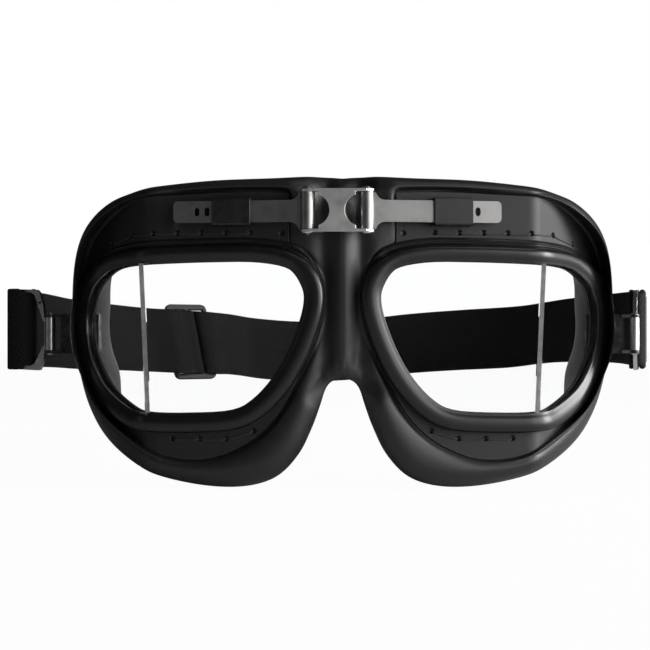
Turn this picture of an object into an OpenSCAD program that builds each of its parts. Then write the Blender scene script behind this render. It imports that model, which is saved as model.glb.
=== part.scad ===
// Split-lens goggles with a padded one-piece mask, a pinned nose bridge and an elastic head strap.
// Millimetres. X runs across the face, Y from the front to the back of the head, Z up.
// The origin is on the plane of symmetry, at eye level, on the brow side of the nose saddle.

/* [Lens openings] */
// Distance from the middle of the nose to the nasal centreline of a rim
nose_half = 7.9; // [7.2:0.1:9.5]
// Length of the rim centreline across one eye
rim_len = 71.4; // [66:0.2:76]
// Height of the rim centreline
rim_high = 50.3; // [46:0.1:54]
// Height of the middle of the rim above eye level
rim_mid = 0.15; // [-2:0.05:2]
// Width of the rim bead
rim_bead = 5.4; // [4.6:0.1:6]
// Extra width of the bead along its top
rim_brow_extra = 0.9; // [0:0.1:1.2]
// Height of the bead above the flange
rim_rise = 3.9; // [3.4:0.1:4.6]
// Length of the front lens, from the nasal rim centreline to the lens joint
front_len = 49.1; // [44:0.1:54]
// Slant of the lens joint away from upright, in degrees
joint_slant = 2.6; // [0:0.1:4]
// Width of the joint between the two lenses
joint_w = 1.3; // [0.8:0.1:2]
// Thickness of the lens glass
lens_t = 2; // [1.6:0.1:2.2]
// Visible width of the metal ring behind the glass
ring_show = 0.5; // [0.3:0.1:0.8]
// Thickness of the ring
ring_t = 0.7; // [0.5:0.1:0.8]

/* [Wrap] */
// How far the flange stands ahead of the brow at the middle of the nose
front_depth = 17; // [15:0.5:20]
// Slope of the front lens round the face, in degrees
front_wrap = 8; // [4:0.5:12]
// Slope of the side lens round the face, in degrees
side_wrap = 46; // [38:0.5:52]
// Radius of the bend between the front and the side of the flange
bend_r = 6; // [4:0.5:9]
// How far back the face side of the pad lies at the temple
face_wrap = 35; // [30:0.5:42]

/* [Flange] */
// How far the flange reaches above the rim centreline
flange_up = 17.3; // [15:0.1:18]
// How far the flange reaches below the rim centreline
flange_down = 10.7; // [9:0.1:12]
// How far the flange reaches past the rim centreline at the temple
flange_out = 2.3; // [1.5:0.1:3]
// How far the flange reaches past the rim centreline at the nose
flange_in = 1.3; // [0.5:0.1:2]
// Thickness of the flange plate
flange_t = 0.8; // [0.6:0.1:1]
// Radius of a stitch hole
stitch_hole_r = 0.6; // [0.4:0.05:0.8]
// Distance between stitch holes along the brow
stitch_pitch = 7.2; // [6:0.1:8]
// Thickness of the stitching thread
thread_t = 0.5; // [0.3:0.05:0.7]

/* [Pad] */
// How far the pad reaches above the rim centreline
pad_up = 22.2; // [21:0.1:25]
// How far the pad reaches below the rim centreline
pad_down = 19; // [17:0.1:22]
// How far the pad reaches past the rim centreline at the temple
pad_out = 6.6; // [5.6:0.1:8]
// Height of the roll round the flange
pad_roll = 1.8; // [1:0.1:2.4]
// Thickness of the soft lining on the face side
lining_t = 1.2; // [0.8:0.1:2]
// Half the width of the nose saddle between the cups
saddle_half = 9.2; // [8.4:0.1:10]
// Gap between soft pieces that move apart
soft_gap = 0.3; // [0.2:0.05:0.5]

/* [Nose bridge] */
// Distance between the two hinge pins
hinge_span = 17; // [15:0.1:18]
// How far the bridge sits to the side of the middle of the nose
bridge_shift = -1.5; // [-1.6:0.1:1.6]
// Height of the middle of the bridge above eye level
bridge_z = 36.6; // [34.8:0.1:36.8]
// Height of a hinge barrel
barrel_h = 10.6; // [9:0.1:11]
// Outer radius of a hinge barrel
barrel_r = 2.1; // [1.8:0.05:2.4]
// Radius of a hinge pin
pin_r = 1.1; // [0.8:0.05:1.3]
// Radial clearance of a pin in its bore
pin_clear = 0.05; // [0.03:0.01:0.08]
// Thickness of the bridge plate and its ears
bridge_t = 0.8; // [0.6:0.1:1]
// Width of the front of the bridge plate
plate_w = 10.6; // [10:0.1:12]
// Width of the bridge plate between its cut-outs
waist_w = 4.4; // [3.6:0.1:5]
// Radius of the half-round cut-outs in the bridge plate
cutout_r = 4.6; // [4:0.1:5]
// Distance from the flange to the middle of a hinge barrel
hinge_rise = 3.9; // [3.7:0.1:4.3]

/* [Hinge leaf] */
// Length of a leaf from its pin to the end of its tail
leaf_len = 39.7; // [38:0.1:43]
// Height of the leaf strip
leaf_h = 6.3; // [5:0.1:7]
// Thickness of the leaf strip
leaf_t = 1; // [0.7:0.1:1.2]
// How far the strip lies behind the middle of the barrel
leaf_set = 0.9; // [0.6:0.1:1.1]
// Distance between the adjustment holes
notch_pitch = 3; // [2.6:0.1:3.4]
// Width of an adjustment hole
notch_w = 1.5; // [1.2:0.1:1.8]
// Height of an adjustment hole
notch_h = 2.5; // [2:0.1:3]
// Distance from the middle of the nose to the clip
clip_x = 26.1; // [24:0.1:28]
// Length of the clip
clip_len = 11.3; // [9:0.1:12]
// Height of the clip
clip_h = 8.2; // [8:0.1:9]
// Clearance of the leaf in the clip
slide_clear = 0.1; // [0.05:0.01:0.2]

/* [Strap buckles] */
// How far a buckle pin stands out past the middle of the rim bead
lug_out = 11.9; // [11.4:0.1:13]
// How far a buckle pin lies behind the flange plane at the rim bead
lug_back = 2.3; // [1.8:0.1:3]
// Height of the middle of a buckle above eye level
lug_z = 1.3; // [-1:0.1:3]
// Height of the barrel of a buckle
buckle_bar_h = 10.1; // [8:0.1:12]
// Radius of the barrel of a buckle
buckle_bar_r = 1.6; // [1.4:0.05:1.8]
// Radius of a buckle pin
lug_pin_r = 0.8; // [0.6:0.05:0.9]
// How far a buckle frame stays inside the edges of the strap
buckle_inset = 0.1; // [0.1:0.1:1]
// Length of a buckle from its pin to its outer edge
buckle_len = 13.2; // [13:0.1:15]
// Thickness of a buckle plate
buckle_t = 1.2; // [0.8:0.1:1.3]
// Turn of the left buckle towards the back, in degrees
left_turn = 20; // [10:1:30]
// Turn of the right buckle towards the back, in degrees
right_turn = 75; // [65:1:80]

/* [Head strap] */
// Width of the elastic strap
strap_w = 25.4; // [24:0.1:25.8]
// Thickness of the strap
strap_t = 1.5; // [1.2:0.1:1.6]
// Distance from the origin to the back of the strap
head_back = 149.5; // [140:0.5:170]
// How far the strap drops from the buckles to its lowest place
strap_drop = 8.3; // [0:0.1:14]
// Lean of the strap at the back of the head, in degrees
strap_lean = 18; // [0:1:24]
// Length of the strap slide
slide_len = 18; // [17.4:0.1:20]
// Height of the slide's rims above and below its openings
slide_rim = 2.2; // [1.4:0.1:2.6]
// Thickness of the strap slide
slide_t = 1.6; // [1.2:0.1:1.8]

/* [Hidden] */
$fn = 40;

big = 400;
eps = 0.02;
leather = [0.07, 0.07, 0.075];
black_metal = [0.05, 0.05, 0.055];
nickel = [0.72, 0.71, 0.69];
glass = [0.82, 0.86, 0.86, 0.35];
cement = [0.62, 0.64, 0.63];
elastic = [0.06, 0.06, 0.065];
thread = [0.03, 0.03, 0.03];

// Shapes of the outlines, in percent of half their length and half their height
rim_shape = [[-100, 35], [-98, 63], [-84, 89], [-56, 99], [-16, 100], [33, 98], [62, 95], [79, 85],
    [94, 63], [100, 29], [99, -7], [92, -38], [78, -68], [57, -90], [38, -99], [3, -100],
    [-34, -96], [-56, -80], [-76, -48], [-91, -7]];
flange_shape = [[-100, 19], [-93, 45], [-78, 60], [-76, 65], [-76, 95], [-73, 99], [-38, 100],
    [10, 97], [42, 90], [66, 74], [85, 52], [99, 22], [100, -9], [93, -37], [76, -64], [53, -82],
    [24, -97], [-6, -100], [-30, -94], [-54, -80], [-72, -59], [-87, -29], [-97, -4]];
mask_shape = [[-100, 62], [-100, 92], [-94, 100], [-58, 99], [-14, 98], [28, 94.5], [46, 92], [65, 87.5],
    [82, 77.5], [93, 63.5], [98.8, 43], [100, 13], [96, -17], [86, -47], [68, -71.5], [38, -89], [2, -98],
    [-33, -100], [-59, -94], [-76, -79], [-86, -61], [-92, -46], [-96, -35.5], [-100, -13], [-100, 25]];

// Curves through points, and what is measured along them
function knot(a, b, c, d, t) =
    (2 * b + (c - a) * t + (2 * a - 5 * b + 4 * c - d) * t * t
    + (3 * b - a - 3 * c + d) * t * t * t) / 2;
function closed(p, steps) = let (n = len(p))
    [for (i = [0:n - 1], k = [0:steps - 1])
        knot(p[(i + n - 1) % n], p[i], p[(i + 1) % n], p[(i + 2) % n], k / steps)];
function open(p, steps) = let (n = len(p))
    [for (i = [0:n - 2], k = [0:(i == n - 2 ? steps : steps - 1)])
        knot(p[max(i - 1, 0)], p[i], p[i + 1], p[min(i + 2, n - 1)], k / steps)];
function unit(v) = v / norm(v);
function side_of(t) = [-t.y, t.x];
function outward(p, i) = let (n = len(p)) side_of(unit(p[(i + 1) % n] - p[(i + n - 1) % n]));
function grown(p, d) = [for (i = [0:len(p) - 1]) p[i] + d * outward(p, i)];
function boxed(shape, lo, hi) =
    [for (q = shape) [(lo.x + hi.x) / 2 + q.x * (hi.x - lo.x) / 200,
        (lo.y + hi.y) / 2 + q.y * (hi.y - lo.y) / 200]];
function mix(a, b, t) = a + (b - a) * t;
function clamp(v, lo, hi) = max(lo, min(hi, v));

// Distance from c along direction d to the outline p
function crossing(a, b, c, d) = let (e = b - a, den = cross(d, e))
    den == 0 ? 0 : let (t = cross(a - c, e) / den, u = cross(a - c, d) / den)
        (u >= 0 && u <= 1 && t > 0 ? t : 0);
function reach(p, c, d) = let (n = len(p)) max([for (i = [0:n - 1]) crossing(p[i], p[(i + 1) % n], c, d)]);

// Outlines of one cup, seen from the front
rim_lo = [nose_half, rim_mid - rim_high / 2];
rim_hi = [nose_half + rim_len, rim_mid + rim_high / 2];
rim_line = closed(boxed(rim_shape, rim_lo, rim_hi), 4);
flange_line = closed(boxed(flange_shape, rim_lo - [flange_in, flange_down],
    rim_hi + [flange_out, flange_up]), 3);
saddle_reach = 4.9;
mask_line = closed(boxed(mask_shape, rim_lo - [saddle_reach, pad_down], rim_hi + [pad_out, pad_up]), 3);
rim_in = grown(rim_line, -rim_bead / 2);
rim_out = grown(rim_line, rim_bead / 2);
eye_line = grown(rim_in, -ring_show);
cup_mid = (rim_lo + rim_hi) / 2;

// The flange bends round the face: a flat front, a bend and a flat side.
// sheet(s, z, b) is the point b in front of it, over the place s across and z up.
function slope(a) = [sin(a), -cos(a)];
bend_s = nose_half + front_len;
corner = [bend_s, bend_s * tan(front_wrap) - front_depth];
bend_mid = corner - bend_r * (slope(front_wrap) + slope(side_wrap)) / (1 + cos(side_wrap - front_wrap));
bend_from = bend_mid.x + bend_r * sin(front_wrap);
bend_to = bend_mid.x + bend_r * sin(side_wrap);
function turn_at(s) = s <= bend_from ? front_wrap : s >= bend_to ? side_wrap : asin((s - bend_mid.x) / bend_r);
function base_y(s) = s <= bend_from ? s * tan(front_wrap) - front_depth
    : s >= bend_to ? corner.y + (s - corner.x) * tan(side_wrap)
    : bend_mid.y - bend_r * cos(turn_at(s));
function sheet(s, z, b) = [s + b * sin(turn_at(s)), base_y(s) - b * cos(turn_at(s)), z];
sheet_end = rim_hi.x + flange_out + 20;
sheet_stops = concat([-20], [for (k = [0:4]) mix(bend_from, bend_to, k / 4)], [sheet_end]);
function level(b) = [for (s = sheet_stops) let (p = sheet(s, 0, b)) [p.x, p.y]];
function reversed(p) = [for (i = [len(p) - 1:-1:0]) p[i]];
function face_y(x) = face_wrap * pow(x / (rim_hi.x + pad_out), 2);

// Places worked out from the sizes above
leaf_level = hinge_rise - leaf_set;
left_pin_x = hinge_span / 2 - bridge_shift;
right_pin_x = hinge_span / 2 + bridge_shift;
function pin_y(x) = x * tan(front_wrap) - front_depth - hinge_rise / cos(front_wrap);
lug_x = rim_hi.x + lug_out;
lug_y = base_y(rim_hi.x) + lug_back;
ear_h = barrel_h / 2 + 0.1;
bridge_h = ear_h + bridge_t;
lug_ear = buckle_bar_h / 2 + 0.05;
lug_t = 1;
glass_back = ring_t + 0.3;
slot_in = 6.8;
buckle_bar_w = 2.8;
bar_inner = buckle_len - buckle_bar_w;
buckle_half = strap_w / 2 - buckle_inset;
slot_half = buckle_half - 1.1;
fold_half = slot_half - 0.2;

// Placing
module half(side) {
    if (side < 0) mirror([1, 0, 0]) children();
    else children();
}
module along_front() {
    translate([0, -front_depth, 0]) rotate([0, 0, front_wrap]) children();
}
module along_side() {
    translate([corner.x, corner.y, 0]) rotate([0, 0, side_wrap]) children();
}
module upright(h) {
    rotate([90, 0, 0]) linear_extrude(height = h, center = true) children();
}
module layer(b0, b1) {
    linear_extrude(height = big, center = true) polygon(concat(level(b0), reversed(level(b1))));
}
module bent_plate(outline, b0, b1) {
    intersection() {
        upright(big) polygon(outline);
        layer(b0, b1);
    }
}
// A tube round an eye or along a route, from rings of points
module loft(rings, round_trip) {
    n = len(rings);
    m = len(rings[0]);
    last = round_trip ? n - 1 : n - 2;
    points = [for (r = rings, p = r) p];
    sides = [for (i = [0:last], j = [0:m - 1]) let (a = i * m, b = ((i + 1) % n) * m, k = (j + 1) % m)
        each [[a + j, b + j, b + k], [a + j, b + k, a + k]]];
    caps = round_trip ? [] : [[for (j = [0:m - 1]) j], [for (j = [m - 1:-1:0]) (n - 1) * m + j]];
    polyhedron(points = points, faces = concat(sides, caps));
}
function rounded(lo, hi, r) = [for (c = [[hi.x - r, hi.y - r, 0], [lo.x + r, hi.y - r, 90],
    [lo.x + r, lo.y + r, 180], [hi.x - r, lo.y + r, 270]], k = [0:3])
    [c.x + r * cos(c.z + 30 * k), c.y + r * sin(c.z + 30 * k)]];

// One leaf: a strip rolled round its pin, with a row of adjustment holes near its tail
flare_r = 2.85;
tail_r = 1.2;
notch_first = 7;
function flare(h) = let (x = barrel_r + 0.5 + flare_r, z = leaf_h / 2 + flare_r,
    from = 180 + asin(clamp((z - h) / flare_r, -1, 1)))
    [for (k = [0:5]) let (a = mix(from, 270, k / 5)) [x + flare_r * cos(a), z + flare_r * sin(a)]];
leaf_edge = concat([[0, barrel_h / 2]], flare(barrel_h / 2),
    [for (a = [90:-30:0]) [leaf_len - tail_r + tail_r * cos(a), leaf_h / 2 - tail_r + tail_r * sin(a)]]);
module notch() {
    r = notch_w / 2;
    square([notch_w, notch_h - notch_w], center = true);
    for (z = [-1, 1]) translate([0, z * (notch_h / 2 - r)]) circle(r);
}
module hinge_leaf(pin_x) {
    color(nickel) translate([pin_x, pin_y(pin_x), bridge_z]) rotate([0, 0, front_wrap]) difference() {
        union() {
            translate([0, leaf_set, 0])
                upright(leaf_t) polygon(concat(leaf_edge, reversed([for (p = leaf_edge) [p.x, -p.y]])));
            cylinder(h = barrel_h, r = barrel_r, center = true);
        }
        cylinder(h = big, r = pin_r + pin_clear, center = true);
        for (k = [0:3]) translate([leaf_len - notch_first - k * notch_pitch, leaf_set, 0])
            upright(3 * leaf_t) notch();
    }
}

// A headed pin, turned about its own axis
module headed_pin(r, head_r, h, dome) {
    side = [[r, h + eps], [head_r, h + eps], [head_r * 0.9, h + dome * 0.4], [head_r * 0.55, h + dome * 0.85],
        [0, h + dome]];
    rotate_extrude() polygon(concat([[0, -h - dome]], [for (i = [3:-1:0]) [side[i].x, -side[i].y]], side));
}
module hinge_pin(pin_x) {
    color(nickel) translate([pin_x, pin_y(pin_x), bridge_z])
        headed_pin(pin_r, pin_r + 0.6, bridge_h, 0.9);
}

// The bridge plate: half-round cut-outs, and ears above and below each barrel
left_pin = [-left_pin_x, pin_y(left_pin_x)];
right_pin = [right_pin_x, pin_y(right_pin_x)];
bridge_len = norm(right_pin - left_pin);
bridge_turn = atan2(right_pin.y - left_pin.y, right_pin.x - left_pin.x);
ear_len = 4.5;
ear_step = 1.4;
module bridge_plate() {
    front = barrel_r + 0.2;
    middle = (left_pin + right_pin) / 2;
    color(nickel) translate([middle.x, middle.y, bridge_z]) rotate([0, 0, bridge_turn]) difference() {
        union() {
            translate([0, bridge_t / 2 - front, 0])
                upright(bridge_t) square([plate_w, 2 * bridge_h], center = true);
            for (x = [-1, 1], z = [-1, 1]) translate([x * bridge_len / 2, 0, z * (ear_h + bridge_t / 2)]) {
                cylinder(h = bridge_t, r = barrel_r, center = true);
                translate([-x * ear_len / 2, (barrel_r - front - ear_step) / 2, 0])
                    cube([ear_len, barrel_r + front - ear_step, bridge_t], center = true);
            }
        }
        for (x = [-1, 1]) {
            translate([x * (waist_w / 2 + cutout_r), 0, 0])
                rotate([90, 0, 0]) cylinder(h = big, r = cutout_r, center = true);
            translate([x * bridge_len / 2, 0, 0]) {
                cylinder(h = 2 * ear_h, r = barrel_r + 0.15, center = true);
                cylinder(h = big, r = pin_r + 0.03, center = true);
            }
        }
    }
}

// The clip that holds a leaf on the flange
clip_wall = 0.9;
module clip() {
    top = leaf_level + leaf_t / 2 + slide_clear;
    low = leaf_level - leaf_t / 2 - slide_clear;
    color(black_metal) along_front() translate([clip_x / cos(front_wrap), 0, bridge_z]) rotate([90, 0, 90])
        linear_extrude(height = clip_len) difference() {
            polygon(concat([[-0.01, -clip_h / 2], [-0.01, clip_h / 2]],
                [for (a = [0:30:90]) [0.8 - top - clip_wall - 0.8 * sin(a), clip_h / 2 - 0.8 + 0.8 * cos(a)]],
                [for (a = [90:-30:0]) [0.8 - top - clip_wall - 0.8 * sin(a), 0.8 - clip_h / 2 - 0.8 * cos(a)]]));
            translate([-top, -leaf_h / 2 - slide_clear])
                square([top - low, leaf_h + 2 * slide_clear]);
        }
}

// Stitch places on the flange, above and below the rim
seam_above = 5.5;
seam_below = 4.4;
function brow_stitch(i) = let (s = nose_half + 19 + i * stitch_pitch)
    [s, rim_hi.y + seam_above - 2.2 * pow(max(0, (s - nose_half - 53) / 9), 2)];
function cheek_stitch(i) = let (s = nose_half + 18 + 8 * i)
    [s, rim_lo.y - seam_below + 2.4 * pow(max(0, (nose_half + 26 - s) / 8), 2)];
stitches = concat([for (i = [0:6]) brow_stitch(i)], [for (i = [0:3]) cheek_stitch(i)]);
module at_sheet(q, b) {
    translate(sheet(q.x, q.y, b)) rotate([0, 0, turn_at(q.x)]) children();
}
module stitching() {
    color(thread) for (q = stitches)
        at_sheet(q, thread_t / 2 + 0.03) rotate([0, 90, 0]) cylinder(h = 2.8, r = thread_t / 2, center = true);
}
rivet_hole = [nose_half + 9.8, rim_hi.y + 5.2];
module flange() {
    color(black_metal) difference() {
        bent_plate(flange_line, -flange_t, 0);
        upright(big) polygon(eye_line);
        for (q = concat(stitches, [rivet_hole]))
            at_sheet(q, 0) rotate([90, 0, 0]) cylinder(h = 4 * flange_t, r = stitch_hole_r, center = true);
    }
}

// The rim: a bead that follows the flange round the lens opening
rim_seat = 0.15;
rim_profile = [[0.5, rim_seat], [0.5, 0.56 * rim_rise], [0.38, 0.84 * rim_rise], [0.14, rim_rise],
    [-0.16, 0.98 * rim_rise], [-0.4, 0.87 * rim_rise], [-0.5, 0.7 * rim_rise], [-0.5, rim_seat]];
module rim() {
    color(black_metal) loft([for (i = [0:len(rim_line) - 1])
        let (c = rim_line[i], n = outward(rim_line, i), w = rim_bead + rim_brow_extra * max(0, n.y))
        [for (q = rim_profile) let (a = q.x * (q.x > 0 ? w : rim_bead))
            sheet(c.x + a * n.x, c.y + a * n.y, q.y)]], true);
}

// Glass: a flat front lens and a flat side lens that meet at a slanted joint
lens_gap = 0.1;
lens_line = grown(rim_in, -lens_gap);
ring_line = grown(rim_in, -lens_gap - 0.05);
lens_mid = glass_back + lens_t / 2;
joint_at = corner + lens_mid * (slope(front_wrap) + slope(side_wrap)) / (1 + cos(side_wrap - front_wrap));
module beside_joint(way) {
    translate([joint_at.x, joint_at.y, rim_mid]) rotate([0, joint_slant, 0])
        translate([way * (big + joint_w + lens_gap) / 2, 0, 0]) cube(big, center = true);
}
module lens_ring() {
    color(nickel) difference() {
        bent_plate(ring_line, 0.1, 0.1 + ring_t);
        upright(big) polygon(eye_line);
    }
}
module front_lens() {
    color(glass) intersection() {
        along_front() translate([0, -lens_mid, 0])
            upright(lens_t) polygon([for (p = lens_line) [p.x / cos(front_wrap), p.y]]);
        beside_joint(-1);
    }
}
module side_lens() {
    color(glass) intersection() {
        along_side() translate([0, -lens_mid, 0])
            upright(lens_t) polygon([for (p = lens_line) [(p.x - corner.x) / cos(side_wrap), p.y]]);
        beside_joint(1);
    }
}
module lens_joint() {
    color(cement) intersection() {
        upright(big) polygon(grown(lens_line, -0.05));
        translate([joint_at.x, joint_at.y, rim_mid]) rotate([0, joint_slant, 0])
            cube([joint_w, lens_t, big], center = true);
    }
}

// The padded cup, its lining, and the nose saddle between the two cups
pad_rings = 64;
rim_reach = grown(rim_line, (rim_bead + rim_brow_extra) / 2);
function ring_way(i) = [cos(360 * i / pad_rings), sin(360 * i / pad_rings)];
function on_sheet(q, b) = sheet(q.x, q.y, b);
function on_face(q, y) = [q.x, y, q.y];
function temple(d) = ease((d.x - 0.3) / 0.6);
function face_from(eye, rim, d) = mix(eye + min(6, 0.44 * (rim - eye)), eye - 2.6, temple(d));
function face_to(eye, rim) = rim - min(4, 0.28 * (rim - eye));
function pad_ring(i) = let (d = ring_way(i), eye = reach(eye_line, cup_mid, d),
    edge = max(reach(flange_line, cup_mid, d) + 0.35, reach(rim_reach, cup_mid, d)) + 0.35,
    rim = reach(mask_line, cup_mid, d), under = -flange_t - 0.3, q = cup_mid,
    inner = q + d * face_from(eye, rim, d), outer = q + d * face_to(eye, rim), end = q + d * rim,
    wall = q + d * mix(eye, face_from(eye, rim, d), 0.5))
    [on_sheet(q + d * (eye + 1.5), under), on_sheet(q + d * edge, under), on_sheet(q + d * (edge + 0.2), 0.1),
        on_sheet(q + d * mix(edge, rim, 0.45), pad_roll), on_sheet(q + d * mix(edge, rim, 0.85), 0.3 * pad_roll),
        on_face(end, base_y(end.x) + 3), on_face(q + d * (rim - 0.6), face_y(end.x) - lining_t - 3),
        on_face(outer, face_y(outer.x) - lining_t), on_face(inner, face_y(inner.x) - lining_t),
        on_face(wall, mix(base_y(wall.x), face_y(wall.x), 0.45))];
function lining_ring(i) = let (p = pad_ring(i), back = [0, 0.07, 0], face = [0, lining_t, 0],
    a = mix(p[8], p[7], 0.12), b = mix(p[8], p[7], 0.88))
    [a + back, b + back, b + face, a + face];
module outside_saddle() {
    intersection() {
        children();
        translate([saddle_half + soft_gap, -big / 2, -big / 2]) cube(big);
    }
}
module pad() {
    color(leather) difference() {
        outside_saddle() loft([for (i = [0:pad_rings - 1]) pad_ring(i)], true);
        lug_tab(0.25);
    }
}
module lining() {
    color([0.12, 0.12, 0.12]) outside_saddle() loft([for (i = [0:pad_rings - 1]) lining_ring(i)], true);
}
saddle_front = open([[-30, 2.4], [-18, 1.4], [-8, 0.7], [10, 0.5], [30, 0.7], [40, 1.8], [45, 4.4],
    [47.5, 8.5]], 3);
saddle_back = open([[47.5, 13.5], [44, 16.5], [32, 16.4], [25, 13.5], [17, 8.8], [4, 6.6], [-14, 6.2],
    [-30, 7.2]], 3);
saddle_plan = [[-14, 2.4], [-9.4, 2.35], [-6.2, 2.05], [-4.6, 1.1], [-2.5, 0.7], [2.5, 0.7], [4.6, 1.1],
    [6.2, 2.05], [9.4, 2.35], [14, 2.4], [14, 30], [-14, 30]];
module nose_pad() {
    notch = boxed([[-76, -79], [-86, -61], [-92, -46], [-96, -35.5]], rim_lo - [saddle_reach, pad_down],
        rim_hi + [pad_out, pad_up]);
    top = rim_hi.y + pad_up;
    edge = concat([[2 * saddle_half, top], [2 * saddle_half, notch[0].y]], notch, [[2.2, notch[3].y + 2.4]]);
    color(leather) translate([0, -front_depth, 0]) intersection() {
        upright(big) polygon(concat(edge, reversed([for (p = edge) [-p.x, p.y]])));
        rotate([90, 0, 90]) linear_extrude(height = 2 * saddle_half, center = true)
            polygon([for (p = concat(saddle_front, saddle_back)) [p.y, p.x]]);
        linear_extrude(height = big, center = true) polygon(saddle_plan);
    }
}

// The side lug: a tab behind the flange with two ears that hold the buckle pin
function beside(p, d) = [for (i = [0:len(p) - 1])
    p[i] + d * side_of(unit(p[min(i + 1, len(p) - 1)] - p[max(i - 1, 0)]))];
function flat(p) = [p.x, p.y];
lug_route = [flat(sheet(rim_hi.x - 3.4, 0, -1.6)), flat(sheet(rim_hi.x + 2.6, 0, -1.6)),
    flat(sheet(rim_hi.x + 3.6, 0, -1.6)) + [1, 0], [lug_x - 2.9, lug_y + 1.7]];
module lug_tab(grow) {
    translate([0, 0, lug_z]) linear_extrude(height = 2 * (lug_ear + lug_t + grow), center = true)
        polygon(concat(beside(lug_route, lug_t / 2 + grow), reversed(beside(lug_route, -lug_t / 2 - grow))));
}
module lug() {
    color(black_metal) difference() {
        union() {
            lug_tab(0);
            translate([lug_x, lug_y, lug_z]) for (z = [-1, 1]) translate([0, 0, z * (lug_ear + lug_t / 2)]) {
                cylinder(h = lug_t, r = buckle_bar_r, center = true);
                translate([-2.7, 0.6, 0]) cube([3, 3.2, lug_t], center = true);
            }
        }
        translate([lug_x, lug_y, lug_z]) cylinder(h = big, r = lug_pin_r + 0.03, center = true);
    }
}
module lug_pin() {
    color(nickel) translate([lug_x, lug_y, lug_z])
        headed_pin(lug_pin_r, lug_pin_r + 0.4, lug_ear + lug_t, 0.5);
}

// The strap buckle: a rolled barrel, cranked arms and a wide outer bar
buckle_lift = 1.5;
neck = buckle_bar_h / 2;
buckle_edge = [[0, neck], [1.85, neck], [1.95, neck + 1.2], [2.2, neck + 3.6], [3.4, buckle_half - 0.6],
    [4.4, buckle_half], [buckle_len - 0.6, buckle_half], [buckle_len, buckle_half - 0.6]];
buckle_eye = [[1.75, neck - 1.6], [2.6, neck - 0.6], [3.4, neck + 1.4], [4.4, neck + 3.8],
    [5.6, slot_half - 0.5], [slot_in, slot_half], [bar_inner, slot_half]];
function lifted(p, d) = [for (q = p) [q.x, d * q.y + buckle_lift * clamp((q.x - 2.1) / 2.9, 0, 1)]];
function all_round(p) = concat(lifted(p, 1), reversed(lifted(p, -1)));
module buckle(turn) {
    color(nickel) translate([lug_x, lug_y, lug_z]) rotate([0, 0, turn]) difference() {
        union() {
            upright(buckle_t) polygon(all_round(buckle_edge));
            cylinder(h = buckle_bar_h, r = buckle_bar_r, center = true);
        }
        upright(3 * buckle_t) polygon(all_round(buckle_eye));
        cylinder(h = big, r = lug_pin_r + pin_clear, center = true);
        translate([3.5, 0, neck + 4.9]) rotate([90, 0, 0]) cylinder(h = big, r = 0.65, center = true);
    }
}

// The strap: sewn round the right buckle, round the head, through the slide, folded through
// the left buckle and back to the middle bar of the slide
head_half = lug_x + 16.7;
function ease(t) = let (c = clamp(t, 0, 1)) c * c * (3 - 2 * c);
// How low the strap hangs round the back, from the left to the right, in percent of the drop.
// It sags most a little left of the middle, and the right side lies higher than the buckles.
strap_sag = open([[-96, 0], [-88, 18], [-77, 31], [-65, 44], [-43, 60], [-31, 84], [-14, 99], [5, 89],
    [25, 60], [44, 42], [54, 35], [64, 25], [77, -1], [90, -11]], 4);
function strap_z(p) = lug_z + buckle_lift - strap_drop * lookup(100 * p.x / head_half, strap_sag) / 100
    * ease((p.y - 0.25 * head_back) / (0.3 * head_back));
function strap_tilt(y) = strap_lean * ease((y - 0.27 * head_back) / (0.6 * head_back));
function by_buckle(turn, q) = [lug_x + q.x * cos(turn) - q.y * sin(turn), lug_y + q.x * sin(turn) + q.y * cos(turn)];
slide_at = [-0.547 * head_half, 0.838 * head_back];
slide_turn = 35;
function loop(p) = [for (q = p) [q.x * head_half / 100, q.y * head_back / 100]];
function by_slide(q) = slide_at + [q.x * cos(slide_turn) - q.y * sin(slide_turn),
    q.x * sin(slide_turn) + q.y * cos(slide_turn)];
bar_mid = (bar_inner + buckle_len) / 2;
lay = buckle_t / 2 + strap_t / 2 + 0.35;
end = buckle_len + strap_t / 2 + 0.4;
sewn_end = [[29, 1], [23, 1], [17, 1.3], [bar_mid + 2.2, lay], [bar_mid - 0.8, lay], [bar_inner - 1.2, 1.1],
    [bar_inner - 1.5, 0], [bar_inner - 1.2, -1.1], [bar_mid - 0.8, -lay], [bar_mid + 2.2, -lay], [17, -1.2],
    [23, -1], [29, -1]];
round_head = loop([[92.7, 41.5], [91.3, 54.8], [84.3, 68.9], [72.3, 80.3], [55.6, 89.6], [35.2, 96.3],
    [13, 100], [-11.1, 99.7]]);
through_slide = [[30, 0], [22, 0], [14, -0.4], [10.5, -1.85], [8, -2.1], [5, -1.1], [3.6, 1.5], [1.7, 3.5],
    [0, 3.85], [-1.7, 3.5], [-3.6, 1.5], [-5, -1.1], [-8, -2.1], [-10.5, -1.95], [-14, -0.6], [-22, 0]];
to_left = loop([[85.7, 64.2], [94.1, 50.8], [98.7, 36.1], [99.9, 25.4]]);
folded_end = [[end + 0.6, 4.5], [end + 0.1, 1.2], [end - 0.4, -1.15], [bar_mid + 0.5, -lay - 0.05],
    [bar_inner - 0.2, -lay], [bar_inner - 1.7, -0.9], [bar_inner - 2.1, 1], [bar_inner - 1.6, 5]];
back_again = loop([[95, 25.4], [96, 35.8], [91.6, 49.8], [83.4, 62.9]]);
round_slide = [[-22, -2.8], [-14, -3.4], [-10, -4.4], [-8, -4.5], [-5.2, -3.6], [-3, -2.3], [-1, -1.75],
    [0.8, -1.85], [2.1, -1.3], [2.65, 0], [2.1, 1.3], [0.8, 1.85], [-0.8, 1.85]];
function across(p) = [for (q = p) [-q.x, q.y]];
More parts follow.
